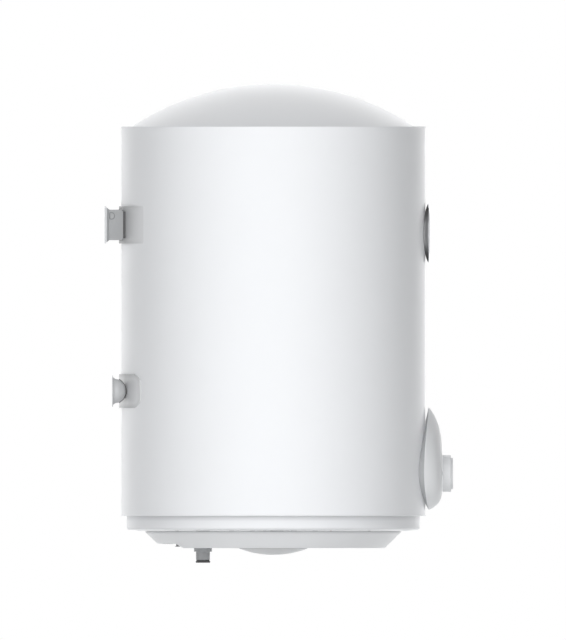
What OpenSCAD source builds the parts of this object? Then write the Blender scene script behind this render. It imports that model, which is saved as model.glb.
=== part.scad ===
// Wall-hung electric storage water heater, a vertical drum.
// +Z is up, the front faces -Y and the wall is the plane Y = 0.
// The origin is the middle of the upper wall bracket, on the wall plane.

/* [Casing] */
// Outer diameter of the sheet jacket
jacket_d = 450; // [430:1:470]
// Height of the sheet jacket
jacket_h = 576; // [560:1:640]
// Sheet thickness of the jacket
jacket_t = 0.8; // [0.6:0.1:1]
// Height of the jacket's top rim above the middle of the upper bracket
rim_above_bracket = 145; // [125:1:165]
// Distance from the wall to the back of the jacket
wall_gap = 25; // [23:1:32]
// Height of the rolled lip at the jacket's lower edge
lip_h = 1.6; // [1:0.1:3]
// Depth of that lip beyond the jacket
lip_out = 0.9; // [0.4:0.1:1.5]
// Height of the top cover's dome
cover_rise = 63.5; // [55:0.5:75]
// Step from the jacket in to the edge of the dome
cover_inset = 15; // [12:0.5:18]
// Sheet thickness of the top cover
cover_t = 0.8; // [0.6:0.1:1]
// Depth of the groove round the dome
groove_depth = 4.8; // [4:0.1:6]
// Step from the jacket in to the lower ring
ring_inset = 8; // [6:0.5:10]
// Height of the lower ring below the jacket
ring_h = 22; // [20:0.5:28]
// Corner radius at the foot of the lower ring
ring_corner = 6; // [4:0.5:8]
// Sheet thickness of the lower ring
ring_t = 1; // [0.8:0.1:1.5]
// Width of the lower ring's floor, from its side in to its opening
ring_floor_w = 77; // [72:1:82]

/* [Tank] */
// Thickness of the foam between the tank and the jacket
foam_t = 20; // [18:0.5:24]
// Wall of the tank
tank_t = 2; // [1.5:0.1:3]
// Distance from the upper edge of the tank's shell to the jacket's rim
top_room = 27; // [24:1:45]
// Height of the shell's lower edge above the jacket's lower edge
shell_lift = 46; // [45:1:50]
// Rise of the tank's top end
top_rise = 44; // [38:1:46]
// Drop of the tank's bottom end
bottom_drop = 36; // [33:1:38]
// Straight skirt on each tank end
skirt_h = 8; // [5:0.5:8]

/* [Flange and element] */
// Outer diameter of the flange plate and its welded ring
flange_d = 148; // [146:1:152]
// Diameter of the flange opening
flange_bore_d = 96; // [94:1:98]
// Thickness of the flange plate
flange_t = 4; // [3:0.5:5]
// Thickness of the flange gasket
gasket_t = 2; // [1.5:0.5:3]
// Pitch circle of the flange studs
stud_pcd = 124; // [122:1:125]
// Number of flange studs
stud_count = 6; // [4:1:8]
// Diameter of the flange studs
stud_d = 8; // [6:1:8]
// Diameter of the heating tube
element_d = 8.6; // [8:0.1:9]
// Half distance between the legs of the heating tube
element_half = 24; // [22:1:25]
// Height of the heating tube's straight legs above the flange
element_h = 205; // [120:5:260]
// Diameter of the anode rod
anode_d = 21; // [18:1:22]
// Length of the anode rod
anode_l = 280; // [150:5:330]
// Length of the thermostat pocket above the flange
pocket_l = 230; // [150:5:280]
// Length of the thermostat's bulb
bulb_l = 112; // [80:1:130]

/* [Water connections] */
// Distance between the two water nipples
nipple_span = 100; // [90:1:110]
// Distance of the nipples in from the edge of the service cover's face
nipple_in = 60.8; // [56:0.1:65]
// Diameter over the nipple thread, for a half-inch pipe fitting
thread_d = 20.96; // [20:0.01:22]
// Length of the nipple thread
thread_l = 11.8; // [11:0.1:14]
// Radius of the collar round each nipple
collar_r = 13.4; // [13:0.1:15]
// Height of that collar below the service cover
collar_h = 5.3; // [4:0.1:6]

/* [Service cover] */
// Depth of the service cover
service_h = 25.6; // [24:0.1:28]
// Step from the lower ring in to the service cover
service_inset = 28; // [24:0.5:32]
// Step from the service cover's upper edge in to its flat face
service_cone = 24; // [21:0.5:27]
// Wall of the service cover
service_t = 2.5; // [2:0.1:3]
// Depth of the step along the back of the service cover
step_h = 6.4; // [5:0.1:8]
// Distance of that step in from the edge of the flat face
step_in = 20.3; // [18:0.1:23]
// Radius of the domed access cap
cap_r = 52.3; // [50:0.1:55]
// Bulge of the access cap
cap_rise = 10; // [7:0.1:12]

/* [Wall bracket] */
// Half width of the bracket pan
pan_half_w = 64; // [60:1:70]
// Half height of the bracket pan
pan_half_h = 22.6; // [20:0.1:25]
// Sheet thickness of the bracket
pan_t = 2.5; // [2:0.1:3]
// Width of the flared edge round the pan
flare = 5.1; // [4:0.1:6]
// Distance between the hook slots
hook_span = 84; // [80:1:90]
// Width of each hook slot
hook_slot_w = 11; // [8:0.5:12]
// Length of each hook slot
hook_slot_l = 26; // [20:1:28]
// Thickness of the pads between the jacket and the wall fittings
pad_t = 3.4; // [2.5:0.1:3.4]
// Half width of the upper pad
pad_half_w = 117; // [100:1:125]
// Half height of the upper pad
pad_half_h = 27.6; // [24:0.1:32]

/* [Lower support] */
// Distance of the lower pad below the upper bracket
lower_drop = 246; // [235:1:255]
// Half width of the lower pad
low_half_w = 110; // [100:1:120]
// Half height of the lower pad
low_half_h = 25; // [24:0.5:28]
// Half distance between the two spacers
spacer_half = 66.5; // [62:0.5:70]
// Distance from the wall to the spacers' flanges
spacer_gap = 11.4; // [10:0.1:13]
// Radius of a spacer's flange
spacer_r = 23.4; // [21:0.1:24]

/* [Control panel] */
// Distance of the knob's axis below the upper bracket
knob_drop = 368; // [355:1:375]
// Half width of the panel's outer edge
panel_half_w = 71; // [68:1:74]
// Height of the panel's point above the knob's axis
panel_up = 98; // [92:1:104]
// Depth of the panel below the knob's axis
panel_down = 54; // [50:1:56]
// Wall of the panel moulding
panel_t = 2.5; // [2:0.1:3]
// Distance of the panel's face from the front of the jacket
panel_out = 25.2; // [24:0.1:28]
// Distance of the panel's outer edge from the front of the jacket
edge_out = 5; // [4:0.1:6]
// Radius of the knob
knob_r = 27.2; // [25:0.1:30]
// Height of the knob
knob_h = 15.6; // [14:0.1:18]
// Diameter of the thermostat's spindle
spindle_d = 6; // [5:0.1:6]
// Radial clearance of the spindle in its bush
spindle_fit = 0.05; // [0.03:0.01:0.08]
// Radius of the indicator lens
lens_r = 4; // [3:0.1:5]
// Height of the indicator lens above the knob's axis
lens_up = 58; // [52:1:60]

/* [Thermometer] */
// Distance of the thermometer's axis below the upper bracket
gauge_drop = 12; // [0:1:25]
// Radius of the thermometer's bezel
gauge_r = 44.2; // [42:0.1:46]
// Radius of the thermometer's neck where it meets the jacket
gauge_neck_r = 39.5; // [38:0.1:40]
// Distance of the bezel's edge from the front of the jacket
gauge_out = 5; // [4.5:0.1:6]
// Length of the needle from its axis
needle_l = 30; // [22:1:33]
// Angle of the needle at rest, clockwise from straight up
needle_rest = -72; // [-120:1:120]

/* [Hidden] */

$fn = 96;
// Facets on wide circles
fine = 240;
// Facets on the circles of shallow domes
dome_fine = 720;
// Gap left between a piece and its seat
gap = 0.3;
// Gap between pieces that are pressed, screwed or welded together
seat = 0.1;
// Overrun of a cut past the face it opens
over = 1;
// Radius above which a bar gets the wide circles' facets
wide_r = 100;

jacket_r = jacket_d / 2;
axis_y = -(wall_gap + jacket_r);
front_y = axis_y - jacket_r;
rim_z = rim_above_bracket;
foot_z = rim_z - jacket_h;

tank_r = jacket_r - foam_t;
shell_z = foot_z + shell_lift;
shell_top_z = rim_z - top_room;
top_z = shell_top_z + skirt_h;
bottom_z = shell_z - skirt_h;

cover_r = jacket_r - cover_inset;
ring_r = jacket_r - ring_inset;
ring_z = foot_z - ring_h;
ring_mouth_r = ring_r - ring_floor_w;

flange_r = flange_d / 2;
bore_r = flange_bore_d / 2;
// Drop of the flange's face below the lowest point of the tank's end
flange_drop = 11;
flange_z = bottom_z - bottom_drop - flange_drop;
plate_z = flange_z - gasket_t;
under_z = plate_z - flange_t;
// Length of a flange stud below the flange plate, and in the welded ring
stud_end = 12;
stud_grip = 8.5;
// Radial clearance of a hole round a stud, where it only passes
stud_clear = 0.6;
stud_hole_clear = 0.4;
nut_r = 7.2;
nut_h = 6.5;
// Places of the element's legs, the pocket and the anode on the flange
leg_back = 8;
pocket_back = 34;
pocket_r = 6;
pocket_t = 1.2;
anode_front = 30;
// Length of a terminal's insulator and of its pin
ferrule_h = 4;
pin_h = 11;
pin_z = under_z - ferrule_h - pin_h;
// The cut-out and its sprung button
cutout_r = 15;
cutout_h = 14;
cutout_lip = 1.2;
button_r = 4;
button_fit = 0.06;
button_travel = 1.5;
button_out = 3;
button_well = 7;

service_r = ring_r - service_inset;
service_face_r = service_r - service_cone;
service_z = ring_z - gap;
face_z = ring_z - service_h;
step_back = service_face_r - step_in;
step_slope = 11.5;
// Screws of the service cover: place, boss, shank, head and their seats
screw_x = 60;
screw_back = step_back - 2.7;
screw_grip = 6;
post_r = 5;
shank_r = 2;
head_r = 4.2;
head_h = 1.6;
boss_drop = 3.9;
well_drop = 4;

nipple_back = service_face_r - nipple_in;
shank_pipe_r = thread_d / 2 - 0.2;
nipple_bore_r = 8;
// Height of the nipples' upper ends below the tank end's edge
nipple_top_z = bottom_z - 12;
// Reach of the dip pipe's upper end below the tank end's edge
dip_room = 6;
collar_z = face_z - collar_h;
thread_z = collar_z - gap - thread_l;
liner_flange_h = 2.9;
liner_neck_h = 1.4;
liner_t = 1.5;
liner_l = 25;
// Cable gland in the step of the service cover
gland_r = 8;
gland_neck_r = 6;
cord_r = 4.2;

hook_y = -12.8;
pan_corner = 3.7;
pan_flare_y = 7;
pan_land = 1.2;
stud_angle = 4.5;
bracket_stud_z = 10;
pad_r = jacket_r + seat + pad_t;
// The pads thin out towards their ends: their outer face is a wide circle
// set back from the drum's axis by pad_shift
pad_end_t = 0.8;
pad_end_r = jacket_r + seat + pad_end_t;
pad_shift = (pad_r * pad_r - pad_end_r * pad_end_r) / 2
    / (pad_r - sqrt(pad_end_r * pad_end_r - pad_half_w * pad_half_w));
web_r = pad_r + gap;
// The pan's end walls stand clear of the upper pad by pan_rise
pan_rise = 2.8;
pan_back = -axis_y - sqrt(web_r * web_r - pan_half_w * pan_half_w) - pan_rise;
nut_gap = 0.15;
// Length of a bracket stud beyond the bracket's web
stud_out = 9.5;
// Pressed outline with one flat side in each end wall of the pan
eye_y = -10.2;
eye_z = 13.4;
eye_r = 5.3;
eye_flat_y = -7.3;
eye_line = 0.9;
eye_deep = 1.1;
// Spacers: height of the skirt and of the nose, radii, screw
spacer_skirt_h = 9.6;
spacer_h = 20.1;
spacer_skirt_r = 17.2;
spacer_top_r = 20.4;
spacer_well_r = 6.2;
spacer_well_h = 6;
spacer_screw_r = 2.6;
spacer_screw_l = 28;
spacer_head_r = 5.4;
spacer_head_h = 3;

knob_z = -knob_drop;
panel_y = front_y - panel_out;
edge_y = front_y - edge_out;
knob_y = panel_y - gap;
// Half width and half height of the thermostat's body, and its bush
stat_w = 20;
stat_hh = 17;
stat_rear_y = front_y + foam_t - 2.5;
bush_r = 5;
// Plate that carries the thermostat behind the panel
base_t = 3;
base_w = 40;
base_up = 30;
base_y = front_y - gap - base_t;
window_gap = 3;
// Shape of the panel: the foot on the jacket is smaller than the edge
panel_steps = 72;
panel_open_r = 9;
foot_shrink_w = 5;
foot_shrink_up = 21;
foot_shrink_down = 8.7;
edge_curve = 806;
// Knob: height of its skirt, and step in to its front disc
knob_skirt_h = 12.6;
disc_in = 3.8;

gauge_z = -gauge_drop;
gauge_edge_y = front_y - gauge_out;
gauge_floor_y = front_y - 1.6;
dial_r = gauge_r - 8.4;
lens_edge_r = gauge_r - 6.5;
can_r = 33.5;
can_depth = foam_t - 3;
can_t = 1.5;
coil_r = 22;
arbor_r = 1.5;
arbor_fit = 0.05;

// Terminal block beside the ring's opening, and the duct for the leads
block_x = ring_mouth_r + 4;
block_w = 19;
block_h = 13.5;
block_pitch = 15;
wire_z = ring_z - 7;
duct_y = front_y + ring_inset + ring_t + 5;
stat_foot_z = knob_z - stat_hh;
run_z = ring_z + 7.5;
lead_turn = 9;
// Clear way of the leads round the flange's nuts and pins
lead_bow = 34;
lead_bow_in = 44;
loom_bow = 39;
stat_drop = 12;

function cap_radius(chord, rise) = (chord * chord + rise * rise) / (2 * rise);
function jacket_y(x, r) = axis_y - sqrt(r * r - x * x);

module on_axis() {
    translate([0, axis_y, 0]) children();
}

// A round bar along the drum's axis, from z0 up to z1
module bar(r, z0, z1) {
    translate([0, 0, z0])
        cylinder(r = r, h = z1 - z0, $fn = r > wide_r ? fine : $fn);
}

// A pipe or washer along the drum's axis
module pipe(r_out, r_in, z0, z1) {
    difference() {
        bar(r_out, z0, z1);
        bar(r_in, z0 - over, z1 + over);
    }
}

// A round bar along Y, from y0 to y1, where y1 is nearer the wall
module bar_y(r, y0, y1) {
    translate([0, y0, 0]) rotate([-90, 0, 0]) cylinder(r = r, h = y1 - y0);
}

// Turns a profile of (radius, distance) about the Y axis, towards the front
module turn_forward() {
    rotate([90, 0, 0]) rotate_extrude() children();
}

// Section of a domed sheet with its edge at height 0
module dome_section(chord, rise, t) {
    r = cap_radius(chord, rise);
    intersection() {
        difference() {
            translate([0, rise - r]) circle(r = r, $fn = dome_fine);
            translate([0, rise - r]) circle(r = r - t, $fn = dome_fine);
        }
        square([chord, rise]);
    }
}

// Section of a filled dome
module dome_fill(chord, rise) {
    r = cap_radius(chord, rise);
    intersection() {
        translate([0, rise - r]) circle(r = r, $fn = dome_fine);
        square([chord, rise]);
    }
}

module at_bracket_studs() {
    for (side = [-1, 1], level = [-1, 1]) {
        rotate_about_axis(side * stud_angle)
            translate([0, 0, level * bracket_stud_z]) children();
    }
}

module rotate_about_axis(angle) {
    translate([0, axis_y, 0]) rotate([0, 0, angle]) children();
}

module at_nipples() {
    for (side = [-1, 1])
        on_axis() translate([side * nipple_span / 2, nipple_back, 0]) children();
}

module at_cover_screws() {
    for (side = [-1, 1], end = [-1, 1])
        on_axis() translate([side * screw_x, end * screw_back, 0]) children();
}

module at_flange_studs() {
    on_axis() for (i = [0 : stud_count - 1])
        rotate([0, 0, (i + 0.5) * 360 / stud_count])
            translate([stud_pcd / 2, 0, 0]) children();
}

module at_spacers() {
    for (side = [-1, 1])
        translate([side * spacer_half, 0, -lower_drop]) children();
}

module at_gauge() {
    translate([0, 0, gauge_z]) children();
}

module at_knob() {
    translate([0, 0, knob_z]) children();
}

module spacer_bores(r) {
    at_spacers() bar_y(r, axis_y + tank_r - foam_t, -over);
}

module bracket_bores(r) {
    at_bracket_studs() translate([0, tank_r - over, 0])
        rotate([-90, 0, 0]) cylinder(r = r, h = foam_t + wall_gap + 3 * over);
}

// ---- Casing ----

module outer_jacket() {
    color("white") difference() {
        on_axis() union() {
            bar(jacket_r, foot_z, rim_z);
            bar(jacket_r + lip_out, foot_z, foot_z + lip_h);
        }
        on_axis() bar(jacket_r - jacket_t, foot_z - over, rim_z + over);
        bracket_bores(stud_d / 2 + stud_clear);
        spacer_bores(spacer_screw_r + stud_clear);
        at_gauge() bar_y(can_r + 0.5, front_y - 10, front_y + foam_t);
        thermostat_opening(window_gap);
    }
}

// The square hole behind the panel that the thermostat stands in
module thermostat_opening(room) {
    translate([-stat_w - room, front_y - 10, knob_z - stat_hh - room])
        cube([2 * (stat_w + room), 10 + foam_t - 1.5,
              2 * (stat_hh + room)]);
}

module top_cover() {
    wall_r = jacket_r - jacket_t - seat;
    color("white") on_axis() translate([0, 0, rim_z]) rotate_extrude($fn = fine)
        union() {
            dome_section(cover_r, cover_rise, cover_t);
            translate([cover_r - cover_t, -groove_depth])
                square([cover_t, groove_depth + 0.2]);
            translate([cover_r - cover_t, -groove_depth])
                square([wall_r - cover_r + cover_t, cover_t]);
            translate([wall_r - cover_t, -groove_depth])
                square([cover_t, groove_depth + seat]);
            translate([wall_r - cover_t, seat])
                square([jacket_r + 0.7 - wall_r + cover_t, cover_t]);
            translate([jacket_r + seat, -2]) square([0.6, 2 + seat + cover_t]);
        }
}

module lower_ring() {
    flange_out_r = jacket_r - jacket_t - seat;
    color("white") difference() {
        on_axis() rotate_extrude($fn = fine) union() {
            // wall and floor with a round corner
            difference() {
                ring_outline(ring_r, ring_corner, 0);
                ring_outline(ring_r - ring_t, ring_corner - ring_t, ring_t);
                square_at(-over, ring_mouth_r, ring_z - over, foot_z + over);
            }
            square_at(ring_r - ring_t, flange_out_r, foot_z + seat,
                      foot_z + seat + ring_t);
            square_at(ring_mouth_r, ring_mouth_r + ring_t, ring_z, ring_z + 4);
        }
        at_cover_screws() bar(shank_r + 0.15, ring_z - over, ring_z + 10);
    }
}

module square_at(x0, x1, z0, z1) {
    translate([x0, z0]) square([x1 - x0, z1 - z0]);
}

// Half section of the ring's outer skin, filled
module ring_outline(r, corner, lift) {
    z0 = ring_z + lift;
    top = foot_z + (lift > 0 ? 2 : 0.5);
    union() {
        square_at(0, r - corner, z0, top);
        square_at(0, r, z0 + corner, top);
        translate([r - corner, z0 + corner]) circle(r = corner);
    }
}

module foam_insulation() {
    skin_r = jacket_r - jacket_t - gap;
    crown = cap_radius(cover_r, cover_rise) - cover_t - gap;
    crown_z = rim_z + cover_rise - cap_radius(cover_r, cover_rise);
    low_r = ring_r - ring_t - gap;
    color("khaki") difference() {
        on_axis() rotate_extrude($fn = fine) difference() {
            union() {
                square_at(0, skin_r, foot_z + 2, rim_z - groove_depth - gap);
                square_at(0, low_r, foot_z - 7, foot_z + 3);
                intersection() {
                    translate([0, crown_z]) circle(r = crown, $fn = dome_fine);
                    square_at(0, cover_r - cover_t - gap, rim_z - 20,
                              rim_z + cover_rise);
                }
            }
            tank_outline(gap);
            square_at(-over, flange_r + 6, foot_z - 10, shell_z);
        }
        bracket_bores(stud_d / 2 + stud_clear);
        spacer_bores(spacer_screw_r + over);
        at_nipples() bar(shank_pipe_r + 1.5, foot_z - 10, shell_z);
        at_gauge() bar_y(can_r + 2, front_y - 1, front_y + foam_t - 1.5);
        thermostat_opening(window_gap + 2);
        // duct for the loom and the capillary, down to the flange space
        translate([4, duct_y - 4.5, foot_z - 10])
            cube([22, 9, stat_foot_z - foot_z + 10]);
    }
}

// Half outline of the closed tank, grown by a margin
module tank_outline(margin) {
    union() {
        square_at(0, tank_r + margin, bottom_z - 2 * margin,
                  top_z + 2 * margin);
        translate([0, top_z]) dome_fill(tank_r + margin, top_rise + margin);
        translate([0, bottom_z]) mirror([0, 1])
            dome_fill(tank_r + margin, bottom_drop + margin);
    }
}

// ---- Tank ----

module tank_shell() {
    color("lightsteelblue") on_axis()
        pipe(tank_r, tank_r - tank_t, shell_z, shell_top_z);
}

module tank_end(rise) {
    rotate_extrude($fn = fine) union() {
        dome_section(tank_r, rise, tank_t);
        translate([tank_r - tank_t, -skirt_h]) square([tank_t, skirt_h + 0.2]);
    }
}

module tank_top_end() {
    color("lightsteelblue") on_axis() translate([0, 0, top_z])
        tank_end(top_rise);
}

module tank_bottom_end() {
    color("lightsteelblue") difference() {
        on_axis() translate([0, 0, bottom_z]) mirror([0, 0, 1])
            tank_end(bottom_drop);
        on_axis() bar(bore_r, flange_z, shell_z);
        at_nipples() bar(shank_pipe_r + seat, flange_z, shell_z);
    }
}

module tank_flange() {
    r = cap_radius(tank_r, bottom_drop);
    color("slategray") difference() {
        on_axis() pipe(flange_r, bore_r, flange_z,
                       flange_z + flange_drop + bottom_drop / 2);
        on_axis() translate([0, 0, bottom_z - bottom_drop + r])
            sphere(r = r + seat, $fn = fine);
        at_flange_studs()
            bar(stud_d / 2, flange_z - over, flange_z + stud_grip + gap);
    }
}

module flange_gasket() {
    color("black") difference() {
        on_axis() pipe(flange_r - 1, bore_r - 2, plate_z, flange_z);
        at_flange_studs() bar(stud_d / 2 + stud_hole_clear, plate_z - over,
                              flange_z + over);
    }
}

module element_flange() {
    color("silver") difference() {
        on_axis() bar(flange_r, under_z, plate_z);
        at_flange_studs() bar(stud_d / 2 + stud_hole_clear, under_z - over,
                              plate_z + over);
        at_legs() bar(element_d / 2 + seat, under_z - over, plate_z + over);
        on_axis() translate([0, pocket_back, 0])
            bar(pocket_r + seat, under_z - over, plate_z + over);
        on_axis() translate([0, -anode_front, 0])
            bar(stud_d / 2 + seat, under_z - over, plate_z + over);
    }
}

module at_legs() {
    on_axis() for (side = [-1, 1])
        translate([side * element_half, leg_back, 0]) children();
}

module flange_studs() {
    color("silver") at_flange_studs()
        bar(stud_d / 2 - seat, under_z - stud_end, flange_z + stud_grip);
}

module flange_nuts() {
    color("gold") at_flange_studs() hex_nut(stud_d / 2, under_z - nut_h);
}

// A nut for a shank of radius r, with its lower face at z
module hex_nut(r, z) {
    difference() {
        translate([0, 0, z]) cylinder(r = nut_r, h = nut_h, $fn = 6);
        bar(r, z - over, z + nut_h + over);
    }
}

module heating_element() {
    r = element_d / 2;
    bend_z = plate_z + element_h;
    color("dimgray") union() {
        at_legs() bar(r, under_z - ferrule_h, bend_z + 0.01);
        on_axis() translate([0, leg_back, bend_z]) rotate([90, 0, 0])
            rotate_extrude(angle = 180) translate([element_half, 0])
                circle(r = r);
    }
}

module element_terminals() {
    color("ivory") at_legs() union() {
        bar(3.4, under_z - 2 * ferrule_h, under_z - ferrule_h);
        bar(1.8, pin_z, under_z - 2 * ferrule_h + over);
    }
}

module thermostat_pocket() {
    color("silver") on_axis() translate([0, pocket_back, 0]) difference() {
        union() {
            bar(pocket_r, under_z, plate_z + pocket_l);
            bar(pocket_r + 2, under_z - 2, under_z);
        }
        bar(pocket_r - pocket_t, under_z - 3, plate_z + pocket_l - 2);
    }
}

module anode_rod() {
    color("gray") on_axis() translate([0, -anode_front, 0]) union() {
        bar(anode_d / 2, plate_z + 3, plate_z + anode_l);
        bar(stud_d / 2 + 2.5, plate_z, plate_z + 3.1);
        bar(stud_d / 2, under_z - 9, plate_z + 1);
    }
}

module anode_nut() {
    color("gold") on_axis() translate([0, -anode_front, 0])
        hex_nut(stud_d / 2 + seat, under_z - nut_h);
}

module safety_cutout() {
    bottom = under_z - cutout_h;
    color("saddlebrown") on_axis() difference() {
        union() {
            bar(cutout_r, bottom, under_z);
            bar(button_r + 2.2, bottom - cutout_lip, bottom + 0.5);
        }
        bar(button_r + button_fit, bottom - 3, bottom + button_well);
    }
}

module reset_button() {
    bottom = under_z - cutout_h;
    color("crimson") on_axis()
        bar(button_r, bottom - cutout_lip - button_out,
            bottom + button_well - button_travel - gap);
}

// ---- Water connections ----

module nipple(top) {
    difference() {
        union() {
            bar(shank_pipe_r, thread_z + thread_l - 0.2, top);
            bar(thread_d / 2, thread_z, thread_z + thread_l);
        }
        bar(nipple_bore_r, thread_z - over, top + over);
    }
}

module cold_inlet_nipple() {
    color("silver") on_axis()
        translate([nipple_span / 2, nipple_back, 0]) nipple(nipple_top_z);
}

module hot_outlet_nipple() {
    color("silver") on_axis()
        translate([-nipple_span / 2, nipple_back, 0]) nipple(nipple_top_z);
}

module cold_diffuser() {
    z0 = nipple_top_z - 8;
    color("ivory") on_axis() translate([nipple_span / 2, nipple_back, 0])
        difference() {
            bar(shank_pipe_r + 3, z0, z0 + 26);
            bar(shank_pipe_r + seat, z0 - over, z0 + 16);
            bar(nipple_bore_r, z0, z0 + 24);
            for (turn = [0, 60, 120])
                rotate([0, 0, turn]) translate([-20, -2.5, z0 + 17.5])
                    cube([40, 5, 5]);
        }
}

module hot_dip_pipe() {
    color("silver") on_axis() translate([-nipple_span / 2, nipple_back, 0])
        pipe(nipple_bore_r - seat, nipple_bore_r - 1.2, flange_z + 1,
             top_z - dip_room);
}

module nipple_collars() {
    color("dimgray") at_nipples() difference() {
        union() {
            bar(collar_r, collar_z, face_z);
            bar(shank_pipe_r + 1.6, face_z - 0.1, face_z + service_t + 1.5);
        }
        bar(shank_pipe_r + gap, collar_z - over, face_z + 20);
    }
}

module nipple_liners() {
    end_z = thread_z - liner_neck_h;
    color("black") at_nipples() difference() {
        union() {
            bar(nipple_bore_r - seat, thread_z - 0.1, thread_z + liner_l);
            bar(thread_d / 2 - 0.7, end_z - 0.1, thread_z);
            bar(thread_d / 2 + 0.2, end_z - liner_flange_h, end_z);
        }
        bar(nipple_bore_r - seat - liner_t, end_z - liner_flange_h - over,
            thread_z + liner_l + over);
    }
}

// ---- Service cover ----

// Depth of a screw's seat above the flat face, at the back and at the front
function head_drop(end) = end > 0 ? boss_drop : well_drop;

// Filled body of the cover: a cone with a step along its back
module service_solid(t) {
    top = service_z + (t > 0 ? over : 0);
    slope = (service_r - service_face_r) / (service_z - face_z);
    drop = top - (face_z + t);
    r_top = service_r - 1.3 * t + (top - service_z) * slope;
    difference() {
        on_axis() translate([0, 0, face_z + t])
            cylinder(r1 = r_top - slope * drop, r2 = r_top, h = drop);
        on_axis() translate([0, -t, t]) rotate([90, 0, 90])
            translate([0, 0, -jacket_r]) linear_extrude(2 * jacket_r)
                polygon([
                    [step_back - step_slope, face_z - over],
                    [step_back, face_z + step_h],
                    [service_r + 20, face_z + step_h],
                    [service_r + 20, face_z - over]
                ]);
    }
}

module service_cover() {
    color("white") difference() {
        union() {
            difference() {
                service_solid(0);
                service_solid(service_t);
            }
            intersection() {
                at_cover_screws() bar(post_r, face_z, service_z);
                service_solid(0);
            }
            for (side = [-1, 1])
                on_axis() translate([side * screw_x, screw_back, 0])
                    bar(post_r, face_z + boss_drop, service_z);
        }
        at_cover_screws() bar(shank_r + gap, face_z - over, service_z + over);
        for (side = [-1, 1], end = [-1, 1])
            on_axis() translate([side * screw_x, end * screw_back, 0])
                bar(head_r + gap, face_z - over, face_z + head_drop(end));
        at_nipples() bar(shank_pipe_r + 1.7, face_z - over, face_z + 8);
        on_axis() bar(cap_r - 2.3, face_z - over, face_z + 8);
        at_gland() bar(gland_neck_r + 0.2, face_z, service_z);
    }
}

module access_cap() {
    color("gainsboro") on_axis() translate([0, 0, face_z]) mirror([0, 0, 1])
        rotate_extrude() union() {
            dome_section(cap_r, cap_rise, 2);
            square_at(cap_r - 4.4, cap_r - 2.4, -5, 0.5);
            square_at(cap_r - 4.4, cap_r - 0.8, 0, 0.8);
        }
}

module cover_screws() {
    color("gray") for (end = [-1, 1], side = [-1, 1])
        on_axis() translate([side * screw_x, end * screw_back, 0])
            cover_screw(face_z + head_drop(end));
}

module cover_screw(z) {
    difference() {
        union() {
            bar(head_r, z - head_h, z);
            bar(shank_r, z - 0.1, ring_z + screw_grip);
        }
        translate([-3, -0.5, z - head_h - over]) cube([6, 1, over + 0.7]);
        translate([-0.5, -3, z - head_h - over]) cube([1, 6, over + 0.7]);
    }
}

module terminal_block() {
    color("ivory") on_axis() difference() {
        translate([block_x, -1.6 * block_pitch, ring_z - block_h])
            cube([block_w, 3.2 * block_pitch, block_h]);
        for (i = [-1, 0, 1]) {
            translate([block_x + block_w / 2, block_pitch * i, 0])
                bar(3, ring_z - block_h - over, ring_z - 4);
            translate([block_x + block_w / 2, block_pitch * i, wire_z])
                rotate([0, 90, 0]) cylinder(r = 2, h = block_w);
        }
    }
}

module at_gland() {
    on_axis() translate([0, step_back + step_slope, 0]) children();
}

module cord_gland() {
    z = face_z + step_h;
    color("black") at_gland() difference() {
        union() {
            bar(gland_r, z - 0.6, z);
            bar(gland_neck_r, z - 0.1, z + service_t + 0.1);
            bar(gland_r, z + service_t, z + service_t + 1.6);
        }
        bar(cord_r, z - over, z + service_t + 3);
    }
}

// ---- Wall bracket ----

// Section of the pan across the wall: half size h, distance into the room d
function pan_points(h, d, t) = [
    [over * (t > 0 ? 1 : 0), h + flare - t],
    [-pan_land, h + flare - t],
    [-pan_flare_y, h - t],
    [-d, h - t],
    [-d, -h + t],
    [-pan_flare_y, -h + t],
    [-pan_land, -h - flare + t],
    [over * (t > 0 ? 1 : 0), -h - flare + t]
];

module pan_solid(t) {
    depth = pan_back + 8;
    web = web_r + t;
    difference() {
        intersection() {
            rotate([90, 0, 90]) translate([0, 0, -2 * pan_half_w])
                linear_extrude(4 * pan_half_w) pan_side(t);
            translate([0, 0, -2 * pan_half_h])
                linear_extrude(4 * pan_half_h) rotate(90)
                polygon(pan_points(pan_half_w, depth, t));
        }
        on_axis() bar(web, -2 * pan_half_h, 2 * pan_half_h);
    }
}

// Side outline of the pan, with round corners next to the drum
module pan_side(t) {
    h = pan_half_h;
    c = pan_corner;
    difference() {
        polygon(pan_points(h, pan_back - t, t));
        for (level = [-1, 1])
            translate([-pan_back + t + c - 0.001, level * (h - t - c)])
                difference() {
                    translate([-c - 1, level > 0 ? 0 : -c - 1])
                        square([c + 1, c + 1]);
                    circle(r = c);
                }
    }
}

module upper_bracket() {
    color("darkgray") difference() {
        pan_solid(0);
        pan_solid(pan_t);
        bracket_bores(stud_d / 2 + seat);
        for (side = [-1, 1])
            translate([side * hook_span / 2, hook_y, pan_half_h - 6])
                linear_extrude(12) slot(hook_slot_l, hook_slot_w);
        for (side = [-1, 1])
            translate([side * pan_half_w - eye_deep, 0, 0])
                rotate([90, 0, 90]) linear_extrude(2 * eye_deep)
                    difference() {
                        eye(0);
                        eye(eye_line);
                    }
    }
}

// Circle with one flat side, smaller by the given amount all round
module eye(inset) {
    intersection() {
        translate([eye_y, eye_z]) circle(r = eye_r - inset);
        square_at(eye_y - 2 * eye_r, eye_flat_y - inset,
                  eye_z - 2 * eye_r, eye_z + 2 * eye_r);
    }
}

module slot(length, width) {
    union() {
        square([length - width, width], center = true);
        for (side = [-1, 1])
            translate([side * (length - width) / 2, 0]) circle(d = width);
    }
}

module bracket_studs() {
    color("silver") at_bracket_studs() translate([0, tank_r + 0.05, 0])
        rotate([-90, 0, 0])
            cylinder(r = stud_d / 2, h = web_r + pan_t + stud_out - tank_r);
}

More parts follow.
